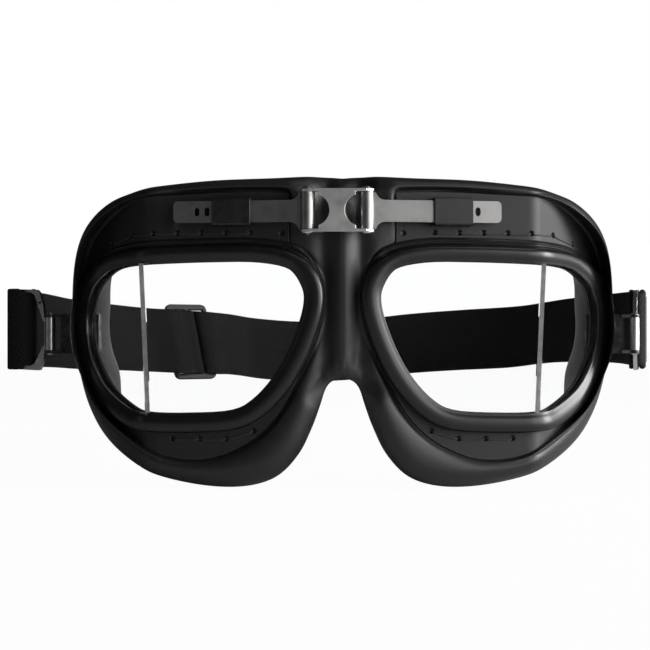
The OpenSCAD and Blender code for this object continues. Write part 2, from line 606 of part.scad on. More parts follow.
strap_route = concat([for (q = sewn_end) by_buckle(right_turn, q)], round_head,
    [for (q = through_slide) by_slide(q)], across(to_left),
    across([for (q = folded_end) by_buckle(left_turn, q)]), across(back_again),
    [for (q = round_slide) by_slide(q)]);
right_pass = by_buckle(right_turn, [bar_inner - 1.5, 0]);
left_pass = across([by_buckle(left_turn, [bar_inner - 1.9, 0])])[0];
slide_squeeze = 0.5;
function strap_half(p) = mix(fold_half, strap_w / 2, ease((min(norm(p - right_pass), norm(p - left_pass)) - 1.4) / 1.2))
    - slide_squeeze * (1 - ease((norm(p - slide_at) - 9) / 5));
function strap_ring(p, i) = let (n = len(p), c = p[i], t = unit(p[min(i + 1, n - 1)] - p[max(i - 1, 0)]),
    away = unit(c - [0, 0.4 * head_back]), a = strap_tilt(c.y), h = strap_half(c), thick = side_of(t) * strap_t / 2,
    up = [away.x * sin(a), away.y * sin(a), cos(a)] * h, m = [c.x, c.y, strap_z(c)])
    [m + up + [thick.x, thick.y, 0], m + up - [thick.x, thick.y, 0],
        m - up - [thick.x, thick.y, 0], m - up + [thick.x, thick.y, 0]];
module head_strap() {
    line = open(strap_route, 2);
    color(elastic) loft([for (i = [0:len(line) - 1]) strap_ring(line, i)], false);
}
module strap_seam() {
    color(thread) for (u = [18.5, 21, 23.5]) let (p = by_buckle(right_turn, [u, -1.15 - strap_t / 2 - 0.3]))
        translate([p.x, p.y, strap_z(p)]) cylinder(h = strap_w - 4, r = 0.25, center = true);
}
slide_bar = 1.8;
module strap_slide() {
    hole = [(slide_len - 3 * slide_bar) / 2, strap_w + 0.4];
    high = hole.y + 2 * slide_rim;
    color(black_metal) translate([slide_at.x, slide_at.y, strap_z(slide_at)]) rotate([0, 0, slide_turn])
        rotate([-strap_tilt(slide_at.y), 0, 0]) upright(slide_t) difference() {
            polygon(rounded([-slide_len, -high] / 2, [slide_len, high] / 2, 2.2));
            for (x = [-1, 1]) translate([x * (slide_bar + hole.x) / 2, 0]) square(hole, center = true);
        }
}

bridge_plate();
half(-1) hinge_pin(left_pin_x);  // left_hinge_pin
half(1) hinge_pin(right_pin_x);  // right_hinge_pin
nose_pad();
head_strap();
strap_seam();
strap_slide();
half(-1) hinge_leaf(left_pin_x);  // left_hinge_leaf
half(-1) clip();  // left_clip
half(-1) flange();  // left_flange
half(-1) rim();  // left_rim
half(-1) lens_ring();  // left_lens_ring
half(-1) front_lens();  // left_front_lens
half(-1) side_lens();  // left_side_lens
half(-1) lens_joint();  // left_lens_joint
half(-1) stitching();  // left_stitching
half(-1) pad();  // left_pad
half(-1) lining();  // left_lining
half(-1) lug();  // left_lug
half(-1) lug_pin();  // left_lug_pin
half(-1) buckle(left_turn);  // left_buckle
half(1) hinge_leaf(right_pin_x);  // right_hinge_leaf
half(1) clip();  // right_clip
half(1) flange();  // right_flange
half(1) rim();  // right_rim
half(1) lens_ring();  // right_lens_ring
half(1) front_lens();  // right_front_lens
half(1) side_lens();  // right_side_lens
half(1) lens_joint();  // right_lens_joint
half(1) stitching();  // right_stitching
half(1) pad();  // right_pad
half(1) lining();  // right_lining
half(1) lug();  // right_lug
half(1) lug_pin();  // right_lug_pin
half(1) buckle(right_turn);  // right_buckle
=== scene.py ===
# %% [markdown]
# # Split-lens riding goggles
# A leather mask carries two flat plates. Each plate holds a bead, a front glass and a side glass.
# Two nickel leaves and a pinned bridge join the cups, and an elastic strap goes round the head.
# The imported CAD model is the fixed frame: sizes, joints and places come from it, looks come from here.

import math

import bmesh
import bpy
from mathutils import Matrix, Vector, noise


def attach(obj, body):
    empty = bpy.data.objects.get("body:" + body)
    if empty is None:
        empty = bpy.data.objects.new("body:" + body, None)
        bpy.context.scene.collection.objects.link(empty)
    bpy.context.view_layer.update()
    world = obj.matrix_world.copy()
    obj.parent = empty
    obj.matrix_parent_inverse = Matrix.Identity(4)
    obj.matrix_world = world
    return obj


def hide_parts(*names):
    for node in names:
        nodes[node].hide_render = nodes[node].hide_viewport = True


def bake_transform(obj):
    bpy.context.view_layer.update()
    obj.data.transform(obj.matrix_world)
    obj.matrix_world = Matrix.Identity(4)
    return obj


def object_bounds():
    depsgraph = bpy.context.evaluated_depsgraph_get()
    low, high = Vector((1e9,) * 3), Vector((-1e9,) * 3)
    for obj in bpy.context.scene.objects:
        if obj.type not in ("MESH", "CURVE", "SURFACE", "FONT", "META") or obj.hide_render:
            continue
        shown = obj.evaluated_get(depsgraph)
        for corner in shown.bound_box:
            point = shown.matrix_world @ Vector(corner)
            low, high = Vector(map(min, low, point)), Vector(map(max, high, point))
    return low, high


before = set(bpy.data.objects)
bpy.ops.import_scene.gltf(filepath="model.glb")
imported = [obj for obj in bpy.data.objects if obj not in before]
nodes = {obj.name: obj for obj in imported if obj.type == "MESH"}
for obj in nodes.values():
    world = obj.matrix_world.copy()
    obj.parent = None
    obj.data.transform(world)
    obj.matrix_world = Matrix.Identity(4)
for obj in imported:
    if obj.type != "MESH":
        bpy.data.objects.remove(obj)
cad_lo, cad_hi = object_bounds()
MM = 0.001
print("CAD box in mm:", [round(v / MM, 1) for v in (*cad_lo, *cad_hi)])

# %% [markdown]
# ## Camera
# The goggles were seen level from the front, about 430 mm away. The far strap looks a third smaller
# than the near one, which fixes that distance. A small lens shift keeps the verticals straight.

# %% Camera
CAMERA_AWAY = 430
scene = bpy.context.scene
bpy.ops.object.camera_add(location=(0, -CAMERA_AWAY * MM, 0), rotation=(math.radians(90), 0, 0))
camera = bpy.context.object
camera.name = "front_camera"
camera.data.sensor_width = 36
camera.data.lens = 79.2
camera.data.shift_x = -0.0269
camera.data.shift_y = 0.02
camera.data.clip_start = 0.01
scene.camera = camera
scene.view_settings.view_transform = "Standard"

# %% [markdown]
# ## Lamps and world
# Black leather and black enamel show almost no colour of their own. Their form is drawn by what they
# mirror, so the studio is a dim room with a large soft lamp on the right and a weaker one on the left.

# %% Lamps
def lamp(name, place, target, size, watts):
    bpy.ops.object.light_add(type="AREA", location=[v * MM for v in place])
    light = bpy.context.object
    light.name = name
    aim = (Vector(target) * MM - light.location).to_track_quat("-Z", "Y")
    light.rotation_euler = aim.to_euler()
    light.data.shape = "RECTANGLE"
    light.data.size = size[0] * MM
    light.data.size_y = size[1] * MM
    light.data.energy = watts
    return light

lamp("key_lamp", (640, -470, 190), (10, 0, 0), (800, 520), 5)
lamp("edge_lamp", (770, -110, 60), (60, -10, 0), (320, 620), 10)
lamp("fill_lamp", (-760, -260, 160), (0, 0, 0), (120, 420), 0.1)
lamp("top_lamp", (260, -60, 760), (0, 20, 0), (420, 240), 0.5)

# %% World
def set_sockets(node, **values):
    """Writes values on the node's inputs; an underscore stands for a space in the socket's name."""
    for label, value in values.items():
        node.inputs[label.replace("_", " ")].default_value = value

world = bpy.data.worlds.new("studio_world")
scene.world = world
world.use_nodes = True
sky = world.node_tree
sky.nodes.clear()
sky_out = sky.nodes.new("ShaderNodeOutputWorld")
sky_room = sky.nodes.new("ShaderNodeBackground")
sky_seen = sky.nodes.new("ShaderNodeBackground")
sky_mix = sky.nodes.new("ShaderNodeMixShader")
sky_path = sky.nodes.new("ShaderNodeLightPath")
sky_max = sky.nodes.new("ShaderNodeMath")
set_sockets(sky_room, Color=(0.028, 0.028, 0.029, 1))
set_sockets(sky_seen, Color=(1, 1, 1, 1))
sky_max.operation = "MAXIMUM"
sky.links.new(sky_path.outputs["Is Camera Ray"], sky_max.inputs[0])
sky.links.new(sky_path.outputs["Is Transmission Ray"], sky_max.inputs[1])
sky.links.new(sky_max.outputs[0], sky_mix.inputs["Fac"])
sky.links.new(sky_room.outputs[0], sky_mix.inputs[1])
sky.links.new(sky_seen.outputs[0], sky_mix.inputs[2])
sky.links.new(sky_mix.outputs[0], sky_out.inputs["Surface"])

# %% [markdown]
# ## Shared node groups
# Wear, grain, brushing and weave come back on several finishes. Each is one group with named inputs,
# built once. A group gives out only masks and heights. The shader stays in the material.

# %% Group helper
def new_group(name, option, value, *results):
    """A group with a place, one optional number and results. Gives it, both inputs and its end node."""
    group = bpy.data.node_groups.new(name, "ShaderNodeTree")
    group.interface.new_socket("Place", in_out="INPUT", socket_type="NodeSocketVector")
    number = group.interface.new_socket(option, in_out="INPUT", socket_type="NodeSocketFloat")
    number.default_value = value
    for label in results:
        group.interface.new_socket(label, in_out="OUTPUT", socket_type="NodeSocketFloat")
    first = group.nodes.new("NodeGroupInput")
    last = group.nodes.new("NodeGroupOutput")
    return group, first.outputs["Place"], first.outputs[option], last

def math_node(tree, operation, a, b=None, clamp=False):
    node = tree.nodes.new("ShaderNodeMath")
    node.operation = operation
    node.use_clamp = clamp
    for slot, value in enumerate((a, b)):
        if value is None:
            continue
        if isinstance(value, (int, float)):
            node.inputs[slot].default_value = value
        else:
            tree.links.new(value, node.inputs[slot])
    return node.outputs[0]

def ramp_node(tree, value, low, high):
    node = tree.nodes.new("ShaderNodeMapRange")
    node.interpolation_type = "SMOOTHSTEP"
    set_sockets(node, From_Min=low, From_Max=high)
    tree.links.new(value, node.inputs["Value"])
    return node.outputs["Result"]

def scaled_place(tree, source, factor):
    node = tree.nodes.new("ShaderNodeMapping")
    set_sockets(node, Scale=factor)
    tree.links.new(source, node.inputs["Vector"])
    return node.outputs["Vector"]

def noise_node(tree, place, scale, detail=3, roughness=0.5):
    node = tree.nodes.new("ShaderNodeTexNoise")
    set_sockets(node, Scale=scale, Detail=detail, Roughness=roughness)
    tree.links.new(place, node.inputs["Vector"])
    return node.outputs["Fac"]

# %% Edge wear group
wear_group, place, amount, wear_out = new_group(
    "edge_wear", "Amount", 0.5, "Mask")
geometry = wear_group.nodes.new("ShaderNodeNewGeometry")
sharp = ramp_node(wear_group, geometry.outputs["Pointiness"], 0.515, 0.60)
patches = ramp_node(wear_group, noise_node(wear_group, place, 420, 5, 0.65), 0.40, 0.62)
worn = math_node(wear_group, "MULTIPLY", sharp, patches)
worn = math_node(wear_group, "MULTIPLY", worn, amount, True)
wear_group.links.new(worn, wear_out.inputs["Mask"])

# %% Leather grain group
grain_group, place, pore_depth, grain_out = new_group(
    "leather_grain", "Pores", 0.4, "Height", "Tone")
cells = grain_group.nodes.new("ShaderNodeTexVoronoi")
cells.feature = "DISTANCE_TO_EDGE"
cells.inputs["Scale"].default_value = 1500
warp = grain_group.nodes.new("ShaderNodeTexNoise")
warp.inputs["Scale"].default_value = 500
grain_group.links.new(place, warp.inputs["Vector"])
warp_add = grain_group.nodes.new("ShaderNodeMix")
warp_add.data_type = "VECTOR"
warp_add.inputs["Factor"].default_value = 0.0006
grain_group.links.new(place, warp_add.inputs["A"])
grain_group.links.new(warp.outputs["Color"], warp_add.inputs["B"])
grain_group.links.new(warp_add.outputs["Result"], cells.inputs["Vector"])
islands = ramp_node(grain_group, cells.outputs["Distance"], 0.0, 0.16)
folds = noise_node(grain_group, place, 180, 4, 0.6)
pores = math_node(grain_group, "MULTIPLY", islands, pore_depth)
grain_height = math_node(grain_group, "ADD", pores, folds)
grain_group.links.new(grain_height, grain_out.inputs["Height"])
grain_group.links.new(noise_node(grain_group, place, 60, 3, 0.6),
                      grain_out.inputs["Tone"])

# %% Brushing group
brush_group, place, smudge, brush_out = new_group(
    "brushed_lines", "Smudge", 0.5, "Lines", "Haze")
along_x = scaled_place(brush_group, place, (60, 60, 4200))
lines = noise_node(brush_group, along_x, 1.0, 4, 0.7)
haze = noise_node(brush_group, place, 190, 4, 0.6)
haze = math_node(brush_group, "MULTIPLY", haze, smudge)
brush_group.links.new(lines, brush_out.inputs["Lines"])
brush_group.links.new(haze, brush_out.inputs["Haze"])

# %% Dust group
dust_group, place, density, dust_out = new_group(
    "dust_specks", "Density", 0.3, "Mask")
specks = dust_group.nodes.new("ShaderNodeTexVoronoi")
specks.inputs["Scale"].default_value = 260
dust_group.links.new(place, specks.inputs["Vector"])
near = ramp_node(dust_group, specks.outputs["Distance"], 0.10, 0.03)
some = ramp_node(dust_group, noise_node(dust_group, place, 90, 2, 0.5), 0.56, 0.66)
dust = math_node(dust_group, "MULTIPLY", near, some)
dust = math_node(dust_group, "MULTIPLY", dust, density, True)
dust_group.links.new(dust, dust_out.inputs["Mask"])

# %% Webbing group
web_group, place, ribs, web_out = new_group(
    "elastic_webbing", "Ribs", 0.5, "Height", "Tone")
parts = web_group.nodes.new("ShaderNodeSeparateXYZ")
web_group.links.new(place, parts.inputs[0])
ACROSS_PITCH = 1.5
ALONG_PITCH = 0.9
column = math_node(web_group, "DIVIDE", parts.outputs["X"], ACROSS_PITCH)
fold_up = math_node(web_group, "PINGPONG", column, 1.0)
slant = math_node(web_group, "MULTIPLY", fold_up, 1.1)
row = math_node(web_group, "DIVIDE", parts.outputs["Y"], ALONG_PITCH)
row = math_node(web_group, "ADD", row, slant)
yarn = math_node(web_group, "SINE", math_node(web_group, "MULTIPLY", row, 2 * math.pi))
cord_line = math_node(web_group, "SINE", math_node(web_group, "MULTIPLY", column, 2 * math.pi))
cord_line = math_node(web_group, "MULTIPLY", cord_line, ribs)
web_height = math_node(web_group, "ADD", yarn, cord_line)
web_group.links.new(web_height, web_out.inputs["Height"])
web_group.links.new(ramp_node(web_group, yarn, -1.0, 1.0), web_out.inputs["Tone"])
print("node groups:", [group.name for group in bpy.data.node_groups])

# %% [markdown]
# ## Finishes
# Every finish is one Principled shader. Colour, roughness and height come from the groups above,
# and what is the same all over is set on the shader's own socket.

# %% Material helper
def new_finish(name, metallic=0.0, roughness=0.4, specular=0.5, sheen=0.0, place_from="Object"):
    finish = bpy.data.materials.new(name)
    finish.use_nodes = True
    tree = finish.node_tree
    shader = tree.nodes["Principled BSDF"]
    set_sockets(shader, Metallic=metallic, Roughness=roughness, Specular_IOR_Level=specular,
                Sheen_Weight=sheen)
    place = tree.nodes.new("ShaderNodeTexCoord").outputs[place_from]
    return finish, tree, shader, place

def use_group(tree, group, place, **values):
    node = tree.nodes.new("ShaderNodeGroup")
    node.node_tree = group
    tree.links.new(place, node.inputs["Place"])
    set_sockets(node, **values)
    return node

def two_tones(tree, shader, mask, dark, light):
    blend = tree.nodes.new("ShaderNodeMix")
    blend.data_type = "RGBA"
    blend.inputs["A"].default_value = (*dark, 1)
    blend.inputs["B"].default_value = (*light, 1)
    tree.links.new(mask, blend.inputs["Factor"])
    tree.links.new(blend.outputs["Result"], shader.inputs["Base Color"])
    return blend

def rough_between(tree, shader, mask, low, high):
    node = tree.nodes.new("ShaderNodeMapRange")
    set_sockets(node, To_Min=low, To_Max=high)
    tree.links.new(mask, node.inputs["Value"])
    tree.links.new(node.outputs["Result"], shader.inputs["Roughness"])

def raise_by(tree, shader, height, distance, strength=1.0):
    bump = tree.nodes.new("ShaderNodeBump")
    set_sockets(bump, Distance=distance * MM, Strength=strength)
    tree.links.new(height, bump.inputs["Height"])
    tree.links.new(bump.outputs["Normal"], shader.inputs["Normal"])

# %% [markdown]
# ### Leather
# Smooth black calf leather: fine pores, long soft folds, a dull wax shine, and a little paler where
# hands rub the high places.

# %% Leather finish
leather, tree, shader, place = new_finish("black_leather", roughness=0.46, specular=0.62)
grain = use_group(tree, grain_group, place, Pores=0.30)
wear = use_group(tree, wear_group, place, Amount=0.3)
tone = math_node(tree, "ADD", grain.outputs["Tone"], wear.outputs["Mask"], True)
two_tones(tree, shader, tone, (0.004, 0.004, 0.0043), (0.012, 0.0118, 0.0118))
rough_between(tree, shader, grain.outputs["Tone"], 0.40, 0.52)
raise_by(tree, shader, grain.outputs["Height"], 0.10, 0.5)

# %% [markdown]
# ### Black enamel
# The flanges, clips and lugs are sheet metal with a baked satin enamel. It is slightly uneven, and
# thin on the edges, where a trace of bare metal shows.

# %% Enamel finishes
def black_enamel(name, low, high, wear_amount, dark=(0.005, 0.005, 0.0053), light=(0.009, 0.009, 0.0094)):
    finish, tree, shader, place = new_finish(name, specular=0.5)
    wear = use_group(tree, wear_group, place, Amount=wear_amount)
    haze = noise_node(tree, place, 70, 4, 0.6)
    peel = noise_node(tree, place, 900, 2, 0.5)
    shade = two_tones(tree, shader, haze, dark, light)
    bare = tree.nodes.new("ShaderNodeMix")
    bare.data_type = "RGBA"
    bare.inputs["B"].default_value = (0.30, 0.29, 0.28, 1)
    tree.links.new(shade.outputs["Result"], bare.inputs["A"])
    tree.links.new(wear.outputs["Mask"], bare.inputs["Factor"])
    tree.links.new(bare.outputs["Result"], shader.inputs["Base Color"])
    rough_between(tree, shader, haze, low, high)
    raise_by(tree, shader, peel, 0.03, 0.35)
    return finish

flange_black = black_enamel("satin_enamel", 0.52, 0.60, 0.12)
rim_black = black_enamel("rim_enamel", 0.28, 0.34, 0.05)
clip_black = black_enamel("clip_enamel", 0.34, 0.40, 0.12)
slide_black = black_enamel("slide_enamel", 0.52, 0.60, 0.0)

# %% [markdown]
# ### Nickel
# The bridge and buckles are polished, then dulled by handling. The leaves are brushed along their
# length, so their lines run level. The bridge's nickel is paler than the buckles': painted light.
# The leaves' nickel is darker: painted shade.

# %% Nickel finishes
# The default tint is the leaves' darkened nickel, painted shade.
def nickel_finish(name, low, high, depth, tint=(0.30, 0.297, 0.29)):
    finish, tree, shader, place = new_finish(name, metallic=1.0)
    brush = use_group(tree, brush_group, place, Smudge=1.0)
    dark = tuple(0.82 * v for v in tint)
    two_tones(tree, shader, ramp_node(tree, brush.outputs["Haze"], 0.30, 0.58), dark, tint)
    rough_between(tree, shader, brush.outputs["Haze"], low, high)
    raise_by(tree, shader, brush.outputs["Lines"], depth, 0.5)
    return finish

# One nickel in three tints: bridge paler (painted light), buckles plain, leaves darker (painted shade).
polished_nickel = nickel_finish("polished_nickel", 0.20, 0.32, 0.010, (0.60, 0.59, 0.575))
bridge_nickel_painted_light = nickel_finish("bridge_nickel_painted_light", 0.32, 0.44, 0.015, (0.90, 0.89, 0.875))
brushed_nickel_painted_shade = nickel_finish("brushed_nickel_painted_shade", 0.34, 0.46, 0.03)

# %% [markdown]
# ### Glass and its joint
# Plain clear glass with a few specks of dust. Where the two panes meet, a grey cement line scatters
# the light between two ground edges.

# %% Glass finishes
clear_glass, tree, shader, place = new_finish("lens_glass", roughness=0.0)
set_sockets(shader, Base_Color=(0.985, 0.99, 0.99, 1), Transmission_Weight=1.0, IOR=1.03)
specks_on = use_group(tree, dust_group, place, Density=0.5)
rough_between(tree, shader, specks_on.outputs["Mask"], 0.0, 0.35)

joint_cement, tree, shader, place = new_finish("joint_cement", roughness=0.35)
cloud = noise_node(tree, place, 420, 4, 0.6)
two_tones(tree, shader, ramp_node(tree, cloud, 0.30, 0.70), (0.22, 0.22, 0.22), (0.36, 0.365, 0.36))
set_sockets(shader, Transmission_Weight=0.35, IOR=1.45)
raise_by(tree, shader, cloud, 0.05, 0.5)

# %% [markdown]
# ### Cloth and thread
# The strap is woven elastic: a fine zigzag of yarn over rubber cords. The lining is a dark brushed
# felt, and the thread is waxed.

# %% Cloth finishes
elastic, tree, shader, place = new_finish(
    "woven_elastic", roughness=0.75, specular=0.14, sheen=0.03, place_from="UV")
set_sockets(shader, Sheen_Roughness=0.5)
web = use_group(tree, web_group, place, Ribs=0.45)
two_tones(tree, shader, web.outputs["Tone"], (0.003, 0.003, 0.003), (0.012, 0.012, 0.0124))
raise_by(tree, shader, web.outputs["Height"], 0.08, 0.5)

felt, tree, shader, place = new_finish("lining_felt", roughness=0.9, specular=0.2, sheen=0.4)
nap = noise_node(tree, place, 1600, 3, 0.7)
two_tones(tree, shader, nap, (0.020, 0.020, 0.021), (0.10, 0.099, 0.096))
raise_by(tree, shader, nap, 0.25, 0.6)

waxed_thread, tree, shader, place = new_finish("waxed_thread", roughness=0.55, sheen=0.1)
ply = noise_node(tree, scaled_place(tree, place, (2600, 900, 900)), 1.0, 2, 0.5)
two_tones(tree, shader, ply, (0.004, 0.004, 0.004), (0.030, 0.030, 0.030))
raise_by(tree, shader, ply, 0.05, 0.6)

# The lens ring is bright metal, but its colour is set near black: painted shade, so it shows only faint
# highlights.
lens_ring_painted_shade, tree, shader, place = new_finish("bright_ring", metallic=1.0, roughness=0.28)
ring_haze = noise_node(tree, place, 240, 3, 0.6)
two_tones(tree, shader, ring_haze, (0.03, 0.03, 0.0295), (0.06, 0.0595, 0.058))
rough_between(tree, shader, ring_haze, 0.40, 0.52)
print("finishes:", len(bpy.data.materials))

# %% [markdown]
# ## Outlines
# The flange, the bead, both glasses and the mask share a few outlines, drawn as seen from the front.
# They are the CAD model's own, so each finished piece lands where its solid is. One bend map then
# lays a flat outline over the face: a flat front, a bend at the glass joint, and a flat side.

# %% Sizes in mm
FRONT_DEPTH = 17.0
FRONT_WRAP = math.radians(8)
SIDE_WRAP = math.radians(46)
BEND_R = 6.0
RIM_LO, RIM_HI = Vector((7.9, -25.0)), Vector((79.3, 25.3))
FLANGE_LO, FLANGE_HI = Vector((6.6, -35.7)), Vector((81.6, 42.6))
MASK_LO, MASK_HI = Vector((3.0, -44.0)), Vector((85.9, 47.5))
CUP_MID = Vector((43.6, 0.15))
BEAD_W = 5.4
FLANGE_T = 0.8
LINING_T = 1.2

# %% Outline control points, in percent of half the box
RIM_SHAPE = [(-100, 35), (-98, 63), (-84, 89), (-56, 99), (-16, 100), (33, 98), (62, 95), (79, 85),
             (94, 63), (100, 29), (99, -7), (92, -38), (78, -68), (57, -90), (38, -99), (3, -100),
             (-34, -96), (-56, -80), (-76, -48), (-91, -7)]
FLANGE_SHAPE = [(-100, 19), (-93, 45), (-78, 60), (-76, 65), (-76, 95), (-73, 99), (-38, 100),
                (10, 98.5), (38, 97), (56, 93), (69, 87), (83, 76), (92, 64), (98, 46), (100, 20), (100, -9),
                (93, -37), (76, -64),
                (53, -82), (24, -97), (-6, -100), (-30, -94), (-54, -80), (-72, -59), (-87, -29),
                (-97, -4)]
MASK_EDGE = [(-107.2, 99), (-94, 100), (-58, 99), (-14, 98), (28, 94.5), (46, 92), (65, 87.5), (82, 77.5),
             (93, 63.5), (98.8, 43), (100, 13), (96, -17), (86, -47), (68, -71.5), (38, -89), (2, -98),
             (-33, -100), (-59, -94), (-76, -79), (-86, -61), (-92, -46), (-96, -35), (-101.5, -30.4),
             (-107.2, -30)]

# %% Curve maths
def knot(a, b, c, d, t):
    return (2 * b + (c - a) * t + (2 * a - 5 * b + 4 * c - d) * t * t
            + (3 * b - a - 3 * c + d) * t * t * t) / 2

def boxed(shape, lo, hi):
    mid, half = (lo + hi) / 2, (hi - lo) / 2
    return [Vector((mid.x + x * half.x / 100, mid.y + z * half.y / 100)) for x, z in shape]

def closed_curve(points, steps):
    n = len(points)
    return [knot(points[i - 1], points[i], points[(i + 1) % n], points[(i + 2) % n], k / steps)
            for i in range(n) for k in range(steps)]

def open_curve(points, steps):
    n = len(points)
    line = [knot(points[max(i - 1, 0)], points[i], points[i + 1], points[min(i + 2, n - 1)], k / steps)
            for i in range(n - 1) for k in range(steps)]
    return line + [points[-1]]

def grown(points, distance):
    n = len(points)
    out = []
    for i in range(n):
        way = (points[(i + 1) % n] - points[i - 1]).normalized()
        out.append(points[i] + distance * Vector((-way.y, way.x)))
    return out

def even(points, count):
    lengths = [0.0]
    for a, b in zip(points, points[1:]):
        lengths.append(lengths[-1] + (b - a).length)
    out, k = [], 0
    for i in range(count):
        at = lengths[-1] * i / (count - 1)
        while k < len(points) - 2 and lengths[k + 1] < at:
            k += 1
        span = max(lengths[k + 1] - lengths[k], 1e-9)
        out.append(points[k].lerp(points[k + 1], min(1.0, (at - lengths[k]) / span)))
    return out

def smooth(value, low, high):
    t = max(0.0, min(1.0, (value - low) / (high - low)))
    return t * t * (3 - 2 * t)

def mix(a, b, t):
    return a + (b - a) * t

def reach(outline, centre, way):
    far = 0.0
    for i, b in enumerate(outline):
        a = outline[i - 1]
        e = b - a
        den = way.x * e.y - way.y * e.x
        if abs(den) < 1e-9:
            continue
        f = a - centre
        t = (f.x * e.y - f.y * e.x) / den
        u = (f.x * way.y - f.y * way.x) / den
        if 0 <= u <= 1 and t > far:
            far = t
    return far

RIM_LINE = closed_curve(boxed(RIM_SHAPE, RIM_LO, RIM_HI), 8)
FLANGE_LINE = closed_curve(boxed(FLANGE_SHAPE, FLANGE_LO, FLANGE_HI), 6)
EYE_LINE = grown(RIM_LINE, -BEAD_W / 2 - 0.5)
FREE_EDGE = open_curve(boxed(MASK_EDGE, MASK_LO, MASK_HI), 8)
print("bead centreline points:", len(RIM_LINE), "mask edge points:", len(FREE_EDGE))

# %% [markdown]
# ## The bend
# `over_face` takes a place across, a place up and a height above the flange, and gives the point in
# space. A piece is modelled flat, then every vertex goes through this map, as sheet goes over a former.

# %% Bend map
def slope(angle):
    return Vector((math.sin(angle), -math.cos(angle)))

CORNER = Vector((57.0, 57.0 * math.tan(FRONT_WRAP) - FRONT_DEPTH))
BEND_MID = CORNER - BEND_R * (slope(FRONT_WRAP) + slope(SIDE_WRAP)) / (1 + math.cos(SIDE_WRAP - FRONT_WRAP))
BEND_FROM = BEND_MID.x + BEND_R * math.sin(FRONT_WRAP)
BEND_TO = BEND_MID.x + BEND_R * math.sin(SIDE_WRAP)

def turn_at(s):
    if s <= BEND_FROM:
        return FRONT_WRAP
    if s >= BEND_TO:
        return SIDE_WRAP
    return math.asin((s - BEND_MID.x) / BEND_R)

def base_y(s):
    if s <= BEND_FROM:
        return s * math.tan(FRONT_WRAP) - FRONT_DEPTH
    if s >= BEND_TO:
        return CORNER.y + (s - CORNER.x) * math.tan(SIDE_WRAP)
    return BEND_MID.y - BEND_R * math.cos(turn_at(s))

def over_face(s, z, b):
    angle = turn_at(s)
    return Vector((s + b * math.sin(angle), base_y(s) - b * math.cos(angle), z))

# %% [markdown]
# ## Bench tools
# A few helpers used for every piece: clear the selection, apply modifiers, smooth a piece, flip a copy
# to the left cup, and split a mesh while its shading stays whole.

# %% Bench helpers
def only(piece):
    if bpy.context.object and bpy.context.object.mode != "OBJECT":
        bpy.ops.object.mode_set(mode="OBJECT")
    bpy.ops.object.select_all(action="DESELECT")
    piece.select_set(True)
    bpy.context.view_layer.objects.active = piece

def apply_all(piece):
    only(piece)
    for modifier in list(piece.modifiers):
        bpy.ops.object.modifier_apply(modifier=modifier.name)

def shade(piece, degrees=35):
    only(piece)
    bpy.ops.object.shade_smooth_by_angle(angle=math.radians(degrees))

def mesh_piece(name, points, faces, finish):
    mesh = bpy.data.meshes.new(name)
    mesh.from_pydata([tuple(v * MM for v in p) for p in points], [], faces)
    mesh.validate()
    piece = bpy.data.objects.new(name, mesh)
    scene.collection.objects.link(piece)
    mesh.materials.append(finish)
    return piece

def edit_all(piece, *steps):
    """Runs the steps in edit mode with the whole piece selected."""
    only(piece)
    bpy.ops.object.mode_set(mode="EDIT")
    bpy.ops.mesh.select_all(action="SELECT")
    for step in steps:
        step()
    bpy.ops.object.mode_set(mode="OBJECT")

def face_outward():
    bpy.ops.mesh.normals_make_consistent(inside=False)

def tidy(piece, merge=0.01):
    edit_all(piece, lambda: bpy.ops.mesh.remove_doubles(threshold=merge * MM), face_outward)

def linked_copy(piece, name):
    other = piece.copy()
    other.data = piece.data.copy()
    other.name = name
    scene.collection.objects.link(other)
    return other

def smooth_faces(piece):
    for face in piece.data.polygons:
        face.use_smooth = True

def ring_faces(rows, size):
    """The quads between rings of size points, where rows lists the pairs of rings to join."""
    faces = []
    for i, n in rows:
        for j in range(size):
            k = (j + 1) % size
            faces.append((i * size + j, i * size + k, n * size + k, n * size + j))
    return faces

def end_caps(count, size):
    return [tuple(range(size)), tuple(reversed(range((count - 1) * size, count * size)))]

def flipped(piece, name):
    other = linked_copy(piece, name)
    other.data.transform(Matrix.Scale(-1, 4, Vector((1, 0, 0))))
    other.data.flip_normals()
    return other

def seat(piece, body, stands_for):
    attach(piece, body)
    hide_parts(stands_for)

def seat_pair(piece, stands_for):
    """Seats a piece of the right cup, and a flipped copy of it on the left cup."""
    other = flipped(piece, piece.name.replace("right", "left"))
    for side, half in (("right", piece), ("left", other)):
        seat(half, f"{side}_cup", f"{side}_{stands_for}")

def paint_with(piece, finish):
    piece.data.materials.clear()
    piece.data.materials.append(finish)

# %% [markdown]
# ## Leather mask
# The real mask is one skin of soft leather over a thin pad. It tucks under each flange, rises in a
# roll round it, turns over at the edge and runs back to the face. Between the cups it is a saddle.
# Padding like this is drawn as rings of points from each eye out to the edge and back, so the skin is
# one closed surface, and the folds are pressed in as dents in its height.

# %% Height tables of the saddle, in mm up and mm behind its front plane
SADDLE_FRONT = [(-30, 2.0), (-18, 1.2), (-8, 0.5), (10, 0.0), (30, 0.4), (40, 1.6), (45, 3.6), (48, 6.5)]
SADDLE_BACK = [(-30, 7.2), (-14, 6.2), (4, 6.6), (17, 8.8), (25, 13.0), (32, 15.6), (44, 15.4), (48, 13)]

def table_at(table, z):
    z = max(table[0][0], min(table[-1][0], z))
    for (z0, v0), (z1, v1) in zip(table, table[1:]):
        if z <= z1:
            return mix(v0, v1, smooth(z, z0, z1) * 0.5 + 0.5 * (z - z0) / (z1 - z0))
    return table[-1][1]

# %% [markdown]
# Creases: each is a line on the mask, a depth and a width. They sit at the lower corners of the nose,
# where the leather is gathered, and beside the saddle.

